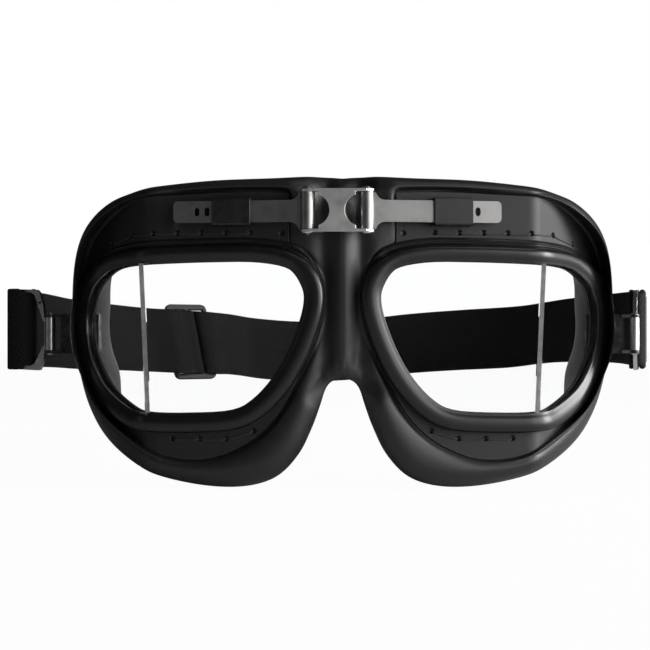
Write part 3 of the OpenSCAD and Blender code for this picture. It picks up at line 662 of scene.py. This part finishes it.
# %% Creases
CREASES = [
    ((2.6, -11.5), (4.4, -5.0), 0.45, 0.6), ((4.6, -14.5), (6.4, -9.5), 0.35, 0.6),
    ((0.9, -12.5), (1.2, -8.0), 0.25, 0.5), ((7.4, -19.5), (10.2, -16.5), 0.3, 0.8),
    ((6.2, 43.0), (7.4, 36.5), 0.35, 0.9), ((10.8, 45.0), (11.6, 41.5), 0.25, 0.8),
]

def distance_to(p, a, b):
    ab = b - a
    t = max(0.0, min(1.0, (p - a).dot(ab) / max(ab.length_squared, 1e-9)))
    return (p - a - ab * t).length

def crease_depth(p):
    total = 0.0
    for a, b, depth, width in CREASES:
        d = distance_to(p, Vector(a), Vector(b))
        if d < 3 * width:
            total += depth * math.exp(-(d / width) ** 2)
    return total

# %% Skin heights
ROLL = 1.8

def front_skin(q, u, from_rim, outer_share):
    """y of the front skin: q the place, u from flange to edge, from_rim the distance from the rim."""
    crown = ROLL * (1 - ((u - 0.42) / (0.62 if u > 0.42 else 0.50)) ** 2)
    groove = mix(-0.95, -0.35, smooth(q.x, 9.0, 16.0))
    lift = smooth(from_rim, -0.3, 1.1)
    height = mix(groove, mix(-0.2, crown, outer_share), lift)
    cup = base_y(q.x) - height
    valley = 2.4 * smooth(abs(q.x), 0.4, 6.4)
    saddle = -FRONT_DEPTH + max(table_at(SADDLE_FRONT, q.y), 0.0) + valley
    share = max(smooth(q.x, 4.0, 10.5), smooth(-q.y, 7.0, 16.0))
    share = max(share * lift, (1 - lift) * smooth(q.x, 3.0, 7.0))
    return mix(saddle, cup, share)

def back_skin(q):
    saddle = -FRONT_DEPTH + table_at(SADDLE_BACK, q.y)
    face = 35.0 * (q.x / MASK_HI.x) ** 2 - LINING_T
    return mix(saddle, face, smooth(q.x, 4.5, 12.5))

def rounding(free, width):
    """How far the skin has turned over: 0 on the top, 1 at the free edge."""
    if free >= width:
        return 0.0
    t = 1 - free / width
    return 1 - math.sqrt(max(0.0, 1 - t * t))

# %% Rays from the middle of one eye to the edge of the mask
EDGE_POINTS = even(FREE_EDGE, 132)
EDGE_POINTS[0].x = 0.0
EDGE_POINTS[-1].x = 0.0
MIDDLE_POINTS = [Vector((0.0, mix(EDGE_POINTS[-1].y, EDGE_POINTS[0].y, k / 30))) for k in range(1, 30)]
RAYS = EDGE_POINTS + MIDDLE_POINTS
RIM_REACH = grown(RIM_LINE, BEAD_W / 2 + 0.35)

def free_distance(q):
    return min(distance_to(q, a, b) for a, b in zip(EDGE_POINTS, EDGE_POINTS[1:]))

FRONT_STOPS = (0.0, 0.035, 0.08, 0.15, 0.24, 0.34, 0.45, 0.56, 0.66, 0.75, 0.83, 0.895, 0.945, 0.98, 1.0)
BACK_STOPS = (1.0, 0.98, 0.94, 0.88, 0.79, 0.66, 0.50, 0.33, 0.17, 0.06, 0.0)
WALL_STOPS = (0.2, 0.4, 0.6, 0.8)

def ray_to(place):
    """Way, distance and reach of the eye's opening, from the middle of the cup towards place."""
    way = place - CUP_MID
    far = way.length
    way = way / far
    return way, far, reach(EYE_LINE, CUP_MID, way)

def face_from(eye, far, way):
    return mix(eye + min(6.0, 0.44 * (far - eye)), eye - 2.2, smooth(way.x, 0.72, 0.98))

def mask_ring(edge_point, is_middle):
    way, far, eye = ray_to(edge_point)
    rim = max(reach(FLANGE_LINE, CUP_MID, way) + 0.1, reach(RIM_REACH, CUP_MID, way)) + 0.15
    band_w = far - rim
    if is_middle:
        outer_share = 0.0
    else:
        above = edge_point.y > 0
        outer_share = smooth(edge_point.x, 1.0, 13.0) if above else smooth(-edge_point.y, 14.0, 22.0)
    inner = face_from(eye, far, way)
    turn_w = min(6.0, 0.80 * band_w) if not is_middle else 5.0
    ring = []
    for at in (eye + 1.5, mix(eye + 1.5, rim, 0.5), rim - 0.5):
        q = CUP_MID + way * at
        ring.append(Vector((q.x, base_y(q.x) + FLANGE_T + 0.25, q.y)))
    for u in FRONT_STOPS:
        q = CUP_MID + way * mix(rim, far, u)
        free = free_distance(q)
        top = front_skin(q, u, band_w * u, outer_share)
        low = back_skin(q)
        depth = min(5.5, 0.42 * (low - top))
        y = top + depth * rounding(free, turn_w) + crease_depth(q)
        ring.append(Vector((q.x, y, q.y)))
    top_y = ring[-1].y
    q = CUP_MID + way * far
    low = back_skin(q)
    depth_b = min(3.5, 0.42 * (low - top_y))
    bottom_y = low - depth_b
    for t in WALL_STOPS:
        tuck = 0.0 if edge_point.x < 0.5 else 0.35 * math.sin(math.pi * t)
        p = q - way * tuck
        ring.append(Vector((p.x, mix(top_y, bottom_y, t), p.y)))
    for u in BACK_STOPS:
        q = CUP_MID + way * mix(inner, far, u)
        free = free_distance(q)
        y = back_skin(q) - depth_b * rounding(free, 4.0) - 1.0 * rounding(mix(0, far - inner, u), 1.5)
        ring.append(Vector((q.x, y, q.y)))
    for t in (0.15, 0.4, 0.65, 0.9):
        q = CUP_MID + way * mix(inner, eye + 1.5, t)
        y = mix(back_skin(CUP_MID + way * inner) - 1.0, base_y(q.x) + FLANGE_T + 0.25, t ** 0.8)
        ring.append(Vector((q.x, y, q.y)))
    return ring

half_rings = [mask_ring(p, k >= len(EDGE_POINTS)) for k, p in enumerate(RAYS)]
print("mask rays:", len(half_rings), "points on each:", len(half_rings[0]))

# %% [markdown]
# The rings are joined into faces. Where the rays end on the middle line, the wall is left out, so the
# mirrored half welds on there and the saddle is one smooth surface.

# %% Skin mesh
def mask_mesh():
    count, size = len(half_rings), len(half_rings[0])
    wall_from = 3 + len(FRONT_STOPS) - 1
    wall_to = wall_from + len(WALL_STOPS) + 1
    points = [p for ring in half_rings for p in ring]
    last_edge = len(EDGE_POINTS) - 1
    faces = []
    for i in range(count):
        n = (i + 1) % count
        middle = i >= last_edge
        for j in range(size):
            if middle and wall_from <= j < wall_to:
                continue
            k = (j + 1) % size
            faces.append((i * size + j, i * size + k, n * size + k, n * size + j))
    mirrored = [Vector((-p.x, p.y, p.z)) for p in points]
    base = len(points)
    other = [tuple(base + v for v in reversed(face)) for face in faces]
    return mesh_piece("mask_skin", points + mirrored, faces + other, leather)

skin = mask_mesh()
tidy(skin, 0.02)
skin.modifiers.new("finer", "SUBSURF").levels = 1
skin.modifiers["finer"].render_levels = 1
apply_all(skin)
print("mask skin faces:", len(skin.data.polygons))

# %% [markdown]
# The skin crosses both bridge hinges, so it is cut into four pieces: two nose halves and two cups.
# Each piece keeps the shading normals of the whole skin, and the cuts don't show.

# %% Cut the skin
def place_key(vertex):
    return tuple(round(c, 7) for c in vertex.co)

def part_of(piece, name, keep):
    """The faces of piece whose middle, in mm, passes keep, with the shading normals of the whole."""
    normals = {place_key(v): v.normal.copy() for v in piece.data.vertices}
    part = linked_copy(piece, name)
    work = bmesh.new()
    work.from_mesh(part.data)
    away = [f for f in work.faces if not keep(f.calc_center_median() / MM)]
    bmesh.ops.delete(work, geom=away, context="FACES")
    work.to_mesh(part.data)
    work.free()
    kept = [normals[place_key(v)] for v in part.data.vertices]
    part.data.normals_split_custom_set_from_vertices(kept)
    return part

CUT = 4.6
smooth_faces(skin)
mask_parts = {
    "mask_left_cup": (-200, -CUT), "mask_left_nose": (-CUT, 0),
    "mask_right_nose": (0, CUT), "mask_right_cup": (CUT, 200),
}
mask = {name: part_of(skin, name, lambda c: low <= c.x < high)
        for name, (low, high) in mask_parts.items()}
bpy.data.objects.remove(skin)

for side, sign in (("left", -1), ("right", 1)):
    nose, cup = mask[f"mask_{side}_nose"], mask[f"mask_{side}_cup"]
    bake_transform(nose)
    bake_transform(cup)
    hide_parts("nose_pad")
    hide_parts(f"{side}_pad")
print("mask pieces:", sorted(mask))

# %% [markdown]
# ## Face lining
# A strip of felt is glued round the face side of each cup. It follows the pad's face and has soft,
# rounded edges.

# %% Lining
def lining_ring(edge_point):
    way, far, eye = ray_to(edge_point)
    inner = face_from(eye, far, way)
    outer = far - min(4.0, 0.28 * (far - eye))
    wall_y = back_skin(CUP_MID + way * inner) - 1.0
    ring = []
    for t, inward in ((0.97, -0.4), (0.97, 0.5), (0.7, 0.6), (0.4, 0.6), (0.12, 0.6)):
        q = CUP_MID + way * mix(inner, eye + 1.5, t)
        y = mix(wall_y, base_y(q.x) + FLANGE_T + 0.25, t ** 0.8)
        q -= way * inward
        ring.append(Vector((q.x, y, q.y)))
    for t, rise in ((0.0, 0.5), (0.10, 0.95), (0.22, 1.25), (0.5, 1.35), (0.78, 1.25),
                    (0.90, 0.95), (0.97, 0.35), (0.94, -0.3), (0.2, -0.3)):
        q = CUP_MID + way * mix(inner, outer, t)
        waviness = 0.12 * noise.noise(Vector((q.x, q.y, 3.0)) * 0.35)
        ring.append(Vector((q.x, back_skin(q) + rise + (waviness if rise > 0.5 else 0.0), q.y)))
    return ring

def lining_mesh():
    rays = [p for p in even(FREE_EDGE, 150) if p.x > 14.5 or (p.y < -20 and p.x > 9)]
    rings = [lining_ring(p) for p in rays]
    rings = [r for r in rings if min(p.x for p in r) > 9.9]
    size = len(rings[0])
    points = [p for ring in rings for p in ring]
    faces = ring_faces([(i, i + 1) for i in range(len(rings) - 1)], size) + end_caps(len(rings), size)
    return mesh_piece("right_lining_felt", points, faces, felt)

right_lining = lining_mesh()
tidy(right_lining)
shade(right_lining, 50)
seat_pair(right_lining, "lining")

# %% [markdown]
# ## Lens beads
# Each lens opening has a rounded black bead. A plain circle is laid on the opening's outline, and its
# edge is extruded again and again to the next line of the bead's profile, as a rolled edge is formed.
# The last line is bridged to the first, so the bead is closed.

# %% Extruded band
def band(name, loops, finish):
    size = len(loops[0])
    bpy.ops.object.select_all(action="DESELECT")
    bpy.ops.mesh.primitive_circle_add(vertices=size, radius=MM)
    piece = bpy.context.object
    piece.name = name
    order = [v.index for v in piece.data.vertices]
    for vertex, place in zip(order, loops[0]):
        piece.data.vertices[vertex].co = place * MM
    for loop in loops[1:]:
        only(piece)
        bpy.ops.object.mode_set(mode="EDIT")
        bpy.ops.mesh.select_mode(type="EDGE")
        bpy.ops.mesh.select_all(action="DESELECT")
        bpy.ops.object.mode_set(mode="OBJECT")
        live = set(order)
        for edge in piece.data.edges:
            edge.select = edge.vertices[0] in live and edge.vertices[1] in live
        bpy.ops.object.mode_set(mode="EDIT")
        bpy.ops.mesh.extrude_edges_move()
        bpy.ops.object.mode_set(mode="OBJECT")
        found = {tuple(round(c, 8) for c in v.co): v.index
                 for v in piece.data.vertices if v.index > max(order)}
        order = [found[tuple(round(c, 8) for c in piece.data.vertices[v].co)] for v in order]
        for vertex, place in zip(order, loop):
            piece.data.vertices[vertex].co = place * MM
    only(piece)
    bpy.ops.object.mode_set(mode="EDIT")
    bpy.ops.mesh.select_mode(type="EDGE")
    bpy.ops.mesh.select_all(action="DESELECT")
    bpy.ops.mesh.select_non_manifold(extend=False)
    bpy.ops.mesh.bridge_edge_loops()
    bpy.ops.object.mode_set(mode="OBJECT")
    piece.location = (0, 0, 0)
    piece.data.materials.append(finish)
    tidy(piece, 0.005)
    shade(piece, 40)
    return piece

# %% Bead profile: outward in mm from the middle of the bead, height in mm over the flange
BROW_EXTRA = 0.9
INNER_SIDE = [(-0.55, 3.88), (-1.15, 3.78), (-1.7, 3.60), (-2.15, 3.38),
              (-2.5, 3.22), (-2.95, 3.16), (-3.05, 3.10), (-2.72, 3.05), (-2.70, 1.6), (-2.70, 0.15)]
PLAIN_SIDE = [(2.70, 0.12), (2.705, 0.25), (2.71, 0.40), (2.715, 0.55), (2.72, 0.70), (2.72, 0.90),
              (2.715, 1.1),
              (2.71, 1.35), (2.70, 1.6), (2.62, 2.25), (2.42, 2.85), (2.05, 3.35), (1.5, 3.68), (0.85, 3.85),
              (0.15, 3.90)]
BROW_SIDE = [(4.00, 0.12), (3.80, 0.50), (3.50, 0.82), (3.10, 0.98), (2.80, 0.86), (2.66, 0.50), (2.46, 0.46),
             (2.30, 0.90), (2.02, 1.16), (1.78, 1.02), (1.66, 1.60), (1.54, 2.55), (1.26, 3.20), (0.80, 3.62),
             (0.15, 3.86)]

def bead_loops():
    n = len(RIM_LINE)
    loops = []
    for k in range(len(PLAIN_SIDE) + len(INNER_SIDE)):
        loop = []
        for i in range(n):
            way = (RIM_LINE[(i + 1) % n] - RIM_LINE[i - 1]).normalized()
            out = Vector((-way.y, way.x))
            if k < len(PLAIN_SIDE):
                brow = smooth(out.y, 0.45, 0.9)
                across, height = Vector(PLAIN_SIDE[k]).lerp(Vector(BROW_SIDE[k]), brow)
                across *= 1 + BROW_EXTRA / BEAD_W * max(0.0, out.y) * (1 - brow)
            else:
                across, height = INNER_SIDE[k - len(PLAIN_SIDE)]
            q = RIM_LINE[i] + out * across
            loop.append(over_face(q.x, q.y, height))
        loops.append(loop)
    return loops

right_bead = band("right_bead", bead_loops(), rim_black)
seat_pair(right_bead, "rim")
print("bead faces:", len(right_bead.data.polygons))

# %% [markdown]
# ## Flange plates
# Each flange is pressed sheet: a flat front, a bend and a flat side. It is drawn as rings from its
# outline in to the opening, at the front, round the edge and back again. Cutters then punch the stitch
# holes with a shallow dish round each. The shading normals come from the bend map, so light runs evenly.

# %% Stitch places
NOSE_HALF = 7.9
HOLE_R = 0.62
DISH_R = 0.95
HOLE_SIDES = 24
BROW_HOLES = [Vector((NOSE_HALF + 19 + 7.2 * i,
                      RIM_HI.y + 5.5 - 2.2 * max(0.0, (7.2 * i - 34) / 9) ** 2)) for i in range(7)]
CHEEK_HOLES = [Vector((NOSE_HALF + 18 + 8 * i,
                       RIM_LO.y - 4.4 + 2.4 * max(0.0, (8 - 8 * i) / 8) ** 2)) for i in range(4)]
RIVET_HOLE = Vector((NOSE_HALF + 9.8, RIM_HI.y + 5.2))

# %% Flange rings and hole cutters
def flange_loops():
    stops = (0.0, 0.08, 0.18, 0.30, 0.42, 0.54, 0.66, 0.78, 0.90, 1.0)
    rows = [(None, -0.68), (None, -0.12)] + [(t, 0.0) for t in stops]
    rows += [(t, -FLANGE_T) for t in reversed(stops)]
    loops = []
    for t, height in rows:
        loop = []
        for place in FLANGE_LINE:
            way, far, eye = ray_to(place)
            edge = 0.0 if t is None else 0.12
            q = CUP_MID + way * mix(far - edge, eye + 0.3, t or 0.0)
            loop.append(over_face(q.x, q.y, height))
        loops.append(loop)
    return loops

def hole_cutter(place, name):
    outer = DISH_R + (DISH_R - HOLE_R) * 0.25 / 0.3
    levels = ((HOLE_R, -3.0), (HOLE_R, -0.3), (outer, 0.25), (outer, 1.5))
    turns = [2 * math.pi * k / HOLE_SIDES for k in range(HOLE_SIDES)]
    ring = [Vector((math.cos(a), math.sin(a))) for a in turns]
    points = []
    angle = turn_at(place.x)
    side = Vector((math.cos(angle), math.sin(angle), 0))
    for radius, height in levels:
        middle = over_face(place.x, place.y, height)
        points += [middle + side * radius * c.x + Vector((0, 0, radius * c.y)) for c in ring]
    faces = ring_faces([(0, 1), (1, 2), (2, 3)], HOLE_SIDES) + end_caps(4, HOLE_SIDES)
    cutter = mesh_piece(name, points, faces, flange_black)
    tidy(cutter, 0.001)
    return cutter

right_plate = band("right_flange_plate", flange_loops(), flange_black)
cutters = [hole_cutter(q, f"cutter_{k}") for k, q in enumerate(BROW_HOLES + CHEEK_HOLES + [RIVET_HOLE])]
only(cutters[0])
for cutter in cutters:
    cutter.select_set(True)
bpy.ops.object.join()
punch = right_plate.modifiers.new("punched_holes", "BOOLEAN")
punch.object = cutters[0]
punch.solver = "EXACT"
apply_all(right_plate)
bpy.data.objects.remove(cutters[0])

# %% Flange shading normals
def bend_normals(piece):
    mesh = piece.data
    smooth_faces(piece)
    normals = [Vector((0, 0, 1))] * len(mesh.loops)
    for face in mesh.polygons:
        for loop in face.loop_indices:
            angle = turn_at(mesh.vertices[mesh.loops[loop].vertex_index].co.x / MM)
            sheet = Vector((math.sin(angle), -math.cos(angle), 0))
            lean = face.normal.dot(sheet)
            normals[loop] = sheet if lean > 0.95 else -sheet if lean < -0.95 else face.normal
    mesh.normals_split_custom_set([tuple(n) for n in normals])

bend_normals(right_plate)
seat_pair(right_plate, "flange")
print("flange faces:", len(right_plate.data.polygons))

# %% [markdown]
# ## Stitching
# The black thread comes up through each hole, lies along the plate and goes down the next. One path
# per gap is drawn as a poly curve with a round bevel, and all are turned into one mesh.

# %% Thread
THREAD_R = 0.24

def thread_curve(name, rows):
    curve = bpy.data.curves.new(name, "CURVE")
    curve.dimensions = "3D"
    curve.bevel_depth = THREAD_R * MM
    curve.bevel_resolution = 3
    curve.use_fill_caps = True
    for row in rows:
        for a, b in zip(row, row[1:]):
            spline = curve.splines.new("POLY")
            steps = [(0.04, -0.9, 0.0), (0.05, -0.2, 0.05), (0.08, 0.12, 0.25)]
            steps += [(0.14 + 0.09 * k, 0.15, 0.42) for k in range(9)]
            steps += [(0.92, 0.12, 0.25), (0.95, -0.2, 0.05), (0.96, -0.9, 0.0)]
            spline.points.add(len(steps) - 1)
            for point, (t, height, low) in zip(spline.points, steps):
                q = a.lerp(b, t) - Vector((0, low))
                point.co = (*(over_face(q.x, q.y, height) * MM), 1)
    piece = bpy.data.objects.new(name, curve)
    scene.collection.objects.link(piece)
    only(piece)
    bpy.ops.object.convert(target="MESH")
    piece = bpy.context.object
    paint_with(piece, waxed_thread)
    shade(piece, 60)
    return piece

right_thread = thread_curve("right_sewing_thread", [BROW_HOLES, CHEEK_HOLES])
seat_pair(right_thread, "stitching")

# %% [markdown]
# ## Sheet metal parts
# Their shape is right in the CAD model, but its edges are razor sharp. A copy of each mesh is merged,
# its flat faces are joined again, and a bevel rounds every edge, as tumbling does after stamping.

# %% Softened copies
def softened(node, name, finish, body, width=0.12, segments=2, angle=28):
    piece = bpy.data.objects.new(name, nodes[node].data.copy())
    scene.collection.objects.link(piece)
    edit_all(piece, lambda: bpy.ops.mesh.remove_doubles(threshold=0.002 * MM),
             lambda: bpy.ops.mesh.dissolve_limited(angle_limit=math.radians(1)))
    edge = piece.modifiers.new("rounded_edges", "BEVEL")
    edge.width = width * MM
    edge.segments = segments
    edge.limit_method = "ANGLE"
    edge.angle_limit = math.radians(angle)
    edge.use_clamp_overlap = True
    apply_all(piece)
    shade(piece, 40)
    flat = piece.modifiers.new("flat_faces", "WEIGHTED_NORMAL")
    flat.keep_sharp = True
    apply_all(piece)
    paint_with(piece, finish)
    seat(piece, body, node)
    return piece

for side in ("left", "right"):
    cup = f"{side}_cup"
    softened(f"{side}_clip", f"{side}_clip_sleeve", clip_black, cup, 0.2, 3)
    softened(f"{side}_lug", f"{side}_lug_tab", clip_black, cup, 0.15)
    softened(f"{side}_lug_pin", f"{side}_lug_rivet", polished_nickel, cup, 0.06)
    softened(f"{side}_hinge_leaf", f"{side}_leaf_strip", brushed_nickel_painted_shade, f"{side}_leaf", 0.12, 3)
    softened(f"{side}_hinge_pin", f"{side}_hinge_rivet", polished_nickel, "bridge", 0.06)
    softened(f"{side}_buckle", f"{side}_buckle_frame", polished_nickel, f"{side}_buckle", 0.25, 3)
softened("bridge_plate", "bridge_saddle", bridge_nickel_painted_light, "bridge", 0.14, 3)
softened("strap_slide", "strap_slide_frame", slide_black, "strap_slide", 0.4, 3)

# %% Glass, ring and joint keep their CAD meshes
for side in ("left", "right"):
    for part, finish in (("front_lens", clear_glass), ("side_lens", clear_glass),
                         ("lens_joint", joint_cement), ("lens_ring", lens_ring_painted_shade)):
        paint_with(nodes[f"{side}_{part}"], finish)
paint_with(nodes["strap_seam"], waxed_thread)

# %% [markdown]
# ## Head strap
# One length of elastic webbing. It is sewn round the right buckle, runs round the head, through the
# slide, doubles through the left buckle and ends on the slide's middle bar. A ribbon is drawn along
# that route, and its own map runs across and along it in millimetres, so the weave keeps its size.

# %% Strap route
LUG_AT = Vector((91.2, 16.4))
LUG_Z = 1.3
HEAD_HALF, HEAD_BACK = 107.9, 149.5
STRAP_W, STRAP_T = 25.4, 1.5
STRAP_LEAN = math.radians(18)
BUCKLE_LEN, BAR_W, BUCKLE_T, BUCKLE_LIFT = 13.2, 2.8, 1.2, 1.5
BAR_IN = BUCKLE_LEN - BAR_W
BAR_MID = (BAR_IN + BUCKLE_LEN) / 2
LAY = BUCKLE_T / 2 + STRAP_T / 2 + 0.35
FOLD_AT = BUCKLE_LEN + STRAP_T / 2 + 0.4
SLIDE_AT, SLIDE_TURN = Vector((-59.02, 125.28)), math.radians(35)
FOLD_HALF = 11.3

def turned(q, angle, origin):
    c, s = math.cos(angle), math.sin(angle)
    return origin + Vector((q[0] * c - q[1] * s, q[0] * s + q[1] * c))

def by_buckle(degrees, route):
    return [turned(q, math.radians(degrees), LUG_AT) for q in route]

def by_slide(route):
    return [turned(q, SLIDE_TURN, SLIDE_AT) for q in route]

def across(route):
    return [Vector((-q.x, q.y)) for q in route]

def head_loop(route):
    return [Vector((x * HEAD_HALF / 100, y * HEAD_BACK / 100)) for x, y in route]

sewn_end = [(29, 1), (23, 1), (17, 1.3), (BAR_MID + 2.2, LAY), (BAR_MID - 0.8, LAY), (BAR_IN - 1.2, 1.1),
            (BAR_IN - 1.5, 0), (BAR_IN - 1.2, -1.1), (BAR_MID - 0.8, -LAY), (BAR_MID + 2.2, -LAY), (17, -1.2),
            (23, -1), (29, -1)]
round_head = [(92.7, 41.5), (91.3, 54.8), (84.3, 68.9), (72.3, 80.3), (55.6, 89.6), (35.2, 96.3), (13, 100),
              (-11.1, 99.7)]
through_slide = [(30, 0), (22, 0), (14, -0.4), (10.5, -1.85), (8, -2.1), (5, -1.1), (3.6, 1.5), (1.7, 3.5),
                 (0, 3.85), (-1.7, 3.5), (-3.6, 1.5), (-5, -1.1), (-8, -2.1), (-10.5, -1.95), (-14, -0.6),
                 (-22, 0)]
to_left = [(85.7, 64.2), (94.1, 50.8), (98.7, 36.1), (99.9, 25.4)]
folded_end = [(FOLD_AT + 0.6, 4.5), (FOLD_AT + 0.1, 1.2), (FOLD_AT - 0.4, -1.15),
              (BAR_MID + 0.5, -LAY - 0.05), (BAR_IN - 0.2, -LAY), (BAR_IN - 1.7, -0.9),
              (BAR_IN - 2.1, 1), (BAR_IN - 1.6, 5)]
back_again = [(95, 25.4), (96, 35.8), (91.6, 49.8), (83.4, 62.9)]
round_slide = [(-22, -2.8), (-14, -3.4), (-10, -4.4), (-8, -4.5), (-5.2, -3.6), (-3, -2.3), (-1, -1.75),
               (0.8, -1.85), (2.1, -1.3), (2.65, 0), (2.1, 1.3), (0.8, 1.85), (-0.8, 1.85)]
strap_route = (by_buckle(75, sewn_end) + head_loop(round_head) + by_slide(through_slide)
               + across(head_loop(to_left)) + across(by_buckle(20, folded_end))
               + across(head_loop(back_again)) + by_slide(round_slide))

# %% Strap ribbon
DROP = 8.3
SAG_PERCENT = [(-96, 0), (-88, 18), (-77, 31), (-65, 44), (-43, 60), (-31, 84), (-14, 99), (5, 89), (25, 60),
               (44, 42), (54, 35), (64, 25), (77, -1), (90, -11)]
SAG = open_curve([Vector(q) for q in SAG_PERCENT], 4)
RIGHT_PASS = by_buckle(75, [(BAR_IN - 1.5, 0)])[0]
LEFT_PASS = across(by_buckle(20, [(BAR_IN - 1.9, 0)]))[0]

def sag_at(percent):
    percent = max(SAG[0].x, min(SAG[-1].x, percent))
    for a, b in zip(SAG, SAG[1:]):
        if percent <= b.x:
            return mix(a.y, b.y, (percent - a.x) / (b.x - a.x))
    return SAG[-1].y

def strap_z(p):
    share = smooth(p.y, 0.25 * HEAD_BACK, 0.55 * HEAD_BACK)
    return LUG_Z + BUCKLE_LIFT - DROP * sag_at(100 * p.x / HEAD_HALF) / 100 * share

# Below 0 the strap is wider inside the slide, and its edges cut into the slide's frame
SLIDE_SQUEEZE = -0.1

def strap_half(p):
    near = min((p - RIGHT_PASS).length, (p - LEFT_PASS).length)
    squeeze = SLIDE_SQUEEZE * (1 - smooth((p - SLIDE_AT).length, 9, 14))
    return mix(FOLD_HALF, STRAP_W / 2, smooth(near, 1.4, 2.6)) - squeeze

SECTION = [(-1, -0.1), (-0.985, -0.42), (-0.95, -0.5)] + [(k / 4, -0.5) for k in range(-3, 4)] + [
    (0.95, -0.5), (0.985, -0.42), (1, -0.1), (1, 0.1), (0.985, 0.42), (0.95, 0.5)] + [
    (k / 4, 0.5) for k in range(3, -4, -1)] + [(-0.95, 0.5), (-0.985, 0.42), (-1, 0.1)]

def strap_mesh():
    line = open_curve(strap_route, 6)
    points, lengths = [], [0.0]
    size = len(SECTION)
    for i, c in enumerate(line):
        if i:
            lengths.append(lengths[-1] + (c - line[i - 1]).length)
        t = (line[min(i + 1, len(line) - 1)] - line[max(i - 1, 0)]).normalized()
        away = (c - Vector((0, 0.4 * HEAD_BACK))).normalized()
        lean = STRAP_LEAN * smooth(c.y, 0.27 * HEAD_BACK, 0.87 * HEAD_BACK)
        up = Vector((away.x * math.sin(lean), away.y * math.sin(lean), math.cos(lean)))
        side = Vector((-t.y, t.x, 0))
        middle = Vector((c.x, c.y, strap_z(c)))
        for a, b in SECTION:
            points.append(middle + up * a * strap_half(c) + side * b * STRAP_T)
    faces = ring_faces([(i, i + 1) for i in range(len(line) - 1)], size) + end_caps(len(line), size)
    piece = mesh_piece("strap_ribbon", points, faces, elastic)
    layer = piece.data.uv_layers.new(name="weave")
    for face in piece.data.polygons:
        for corner, vertex in zip(face.loop_indices, face.vertices):
            layer.data[corner].uv = (SECTION[vertex % size][0] * STRAP_W / 2, lengths[vertex // size])
    return piece

ribbon = strap_mesh()
edit_all(ribbon, face_outward)
smooth_faces(ribbon)
print("strap faces:", len(ribbon.data.polygons))

# %% [markdown]
# The strap is cut across into lengths. The length inside the slide moves with it, and the back stays
# with the bridge.

# %% Cut the strap
FOLD_Y, SIDE_Y, REAR_Y = 53, 59, 102
STRAP_CUTS = {
    f"strap_{side}_{where}": (sign, low, high)
    for side, sign, first in (("left", -1, "fold"), ("right", 1, "end"))
    for where, low, high in ((first, 0, FOLD_Y), ("side", FOLD_Y, SIDE_Y), ("rear", SIDE_Y, REAR_Y))
}

def strap_part(name, keep):
    part = part_of(ribbon, name, keep)
    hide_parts("head_strap")
    return part

BLENDS = {"fold": ("buckle", "cup", 34, 52), "end": ("buckle", "cup", 34, 52),
          "side": ("cup", "leaf", 54, 58), "rear": ("leaf", "bridge", 60, 101)}
strap_pieces = []
for name, (sign, low, high) in STRAP_CUTS.items():
    part = strap_part(name, lambda c: sign * c.x > 0 and low <= c.y < high)
    side, where = name.split("_")[1:]
    first, last, start, end = BLENDS[where]
    last = last if last == "bridge" else f"{side}_{last}"
    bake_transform(part)
    strap_pieces.append(part)
SLIDE_AXIS = Vector((math.cos(SLIDE_TURN), math.sin(SLIDE_TURN)))
IN_SLIDE, LEAD, LEFT_REACH = 13, 40, 99

def along_slide(c):
    return (Vector((c.x, c.y)) - SLIDE_AT).dot(SLIDE_AXIS) if c.x < 0 else 3 * LEAD

def slide_lead(name, sign):
    reach_to = LEAD if sign > 0 else LEFT_REACH
    part = strap_part(name, lambda c: c.y >= REAR_Y and IN_SLIDE <= sign * along_slide(c) < reach_to)
    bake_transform(part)
    return part

in_slide = strap_part("strap_in_slide", lambda c: c.y >= REAR_Y and abs(along_slide(c)) < IN_SLIDE)
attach(in_slide, "strap_slide")
strap_back = strap_part("strap_back", lambda c: c.y >= REAR_Y and along_slide(c) >= LEAD)
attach(strap_back, "bridge")
strap_pieces += [slide_lead("strap_slide_left", -1), in_slide, slide_lead("strap_slide_right", 1), strap_back]
bpy.data.objects.remove(ribbon)
print("strap pieces:", [p.name for p in strap_pieces])

# %% [markdown]
# ## Floor
# A wide pale floor just under the mask. Towards the camera it is white, as the plain ground behind the
# goggles is, and it still catches their shadow.

# %% Floor
FLOOR_GAP, FLOOR_GLOW = 0.6, 0.97
bpy.ops.mesh.primitive_plane_add(size=6, location=(0, 1.2, cad_lo.z - FLOOR_GAP * MM))
floor = bpy.context.object
floor.name = "studio_floor"
floor.data.transform(floor.matrix_world)
floor.matrix_world = Matrix.Identity(4)
floor_paint = bpy.data.materials.new("floor_paint")
floor_paint.use_nodes = True
tree = floor_paint.node_tree
paint = tree.nodes["Principled BSDF"]
set_sockets(paint, Base_Color=(0.80, 0.80, 0.80, 1), Roughness=0.9, Specular_IOR_Level=0.1)
glow = tree.nodes.new("ShaderNodeEmission")
set_sockets(glow, Color=(1, 1, 1, 1))
seen = tree.nodes.new("ShaderNodeMixShader")
path = tree.nodes.new("ShaderNodeLightPath")
looks = math_node(tree, "MAXIMUM", path.outputs["Is Camera Ray"], path.outputs["Is Transmission Ray"])
looks = math_node(tree, "MULTIPLY", looks, FLOOR_GLOW)
tree.links.new(looks, seen.inputs["Fac"])
tree.links.new(paint.outputs[0], seen.inputs[1])
tree.links.new(glow.outputs[0], seen.inputs[2])
tree.links.new(seen.outputs[0], tree.nodes["Material Output"].inputs["Surface"])
floor.data.materials.append(floor_paint)

# %% Finish
bpy.context.view_layer.update()
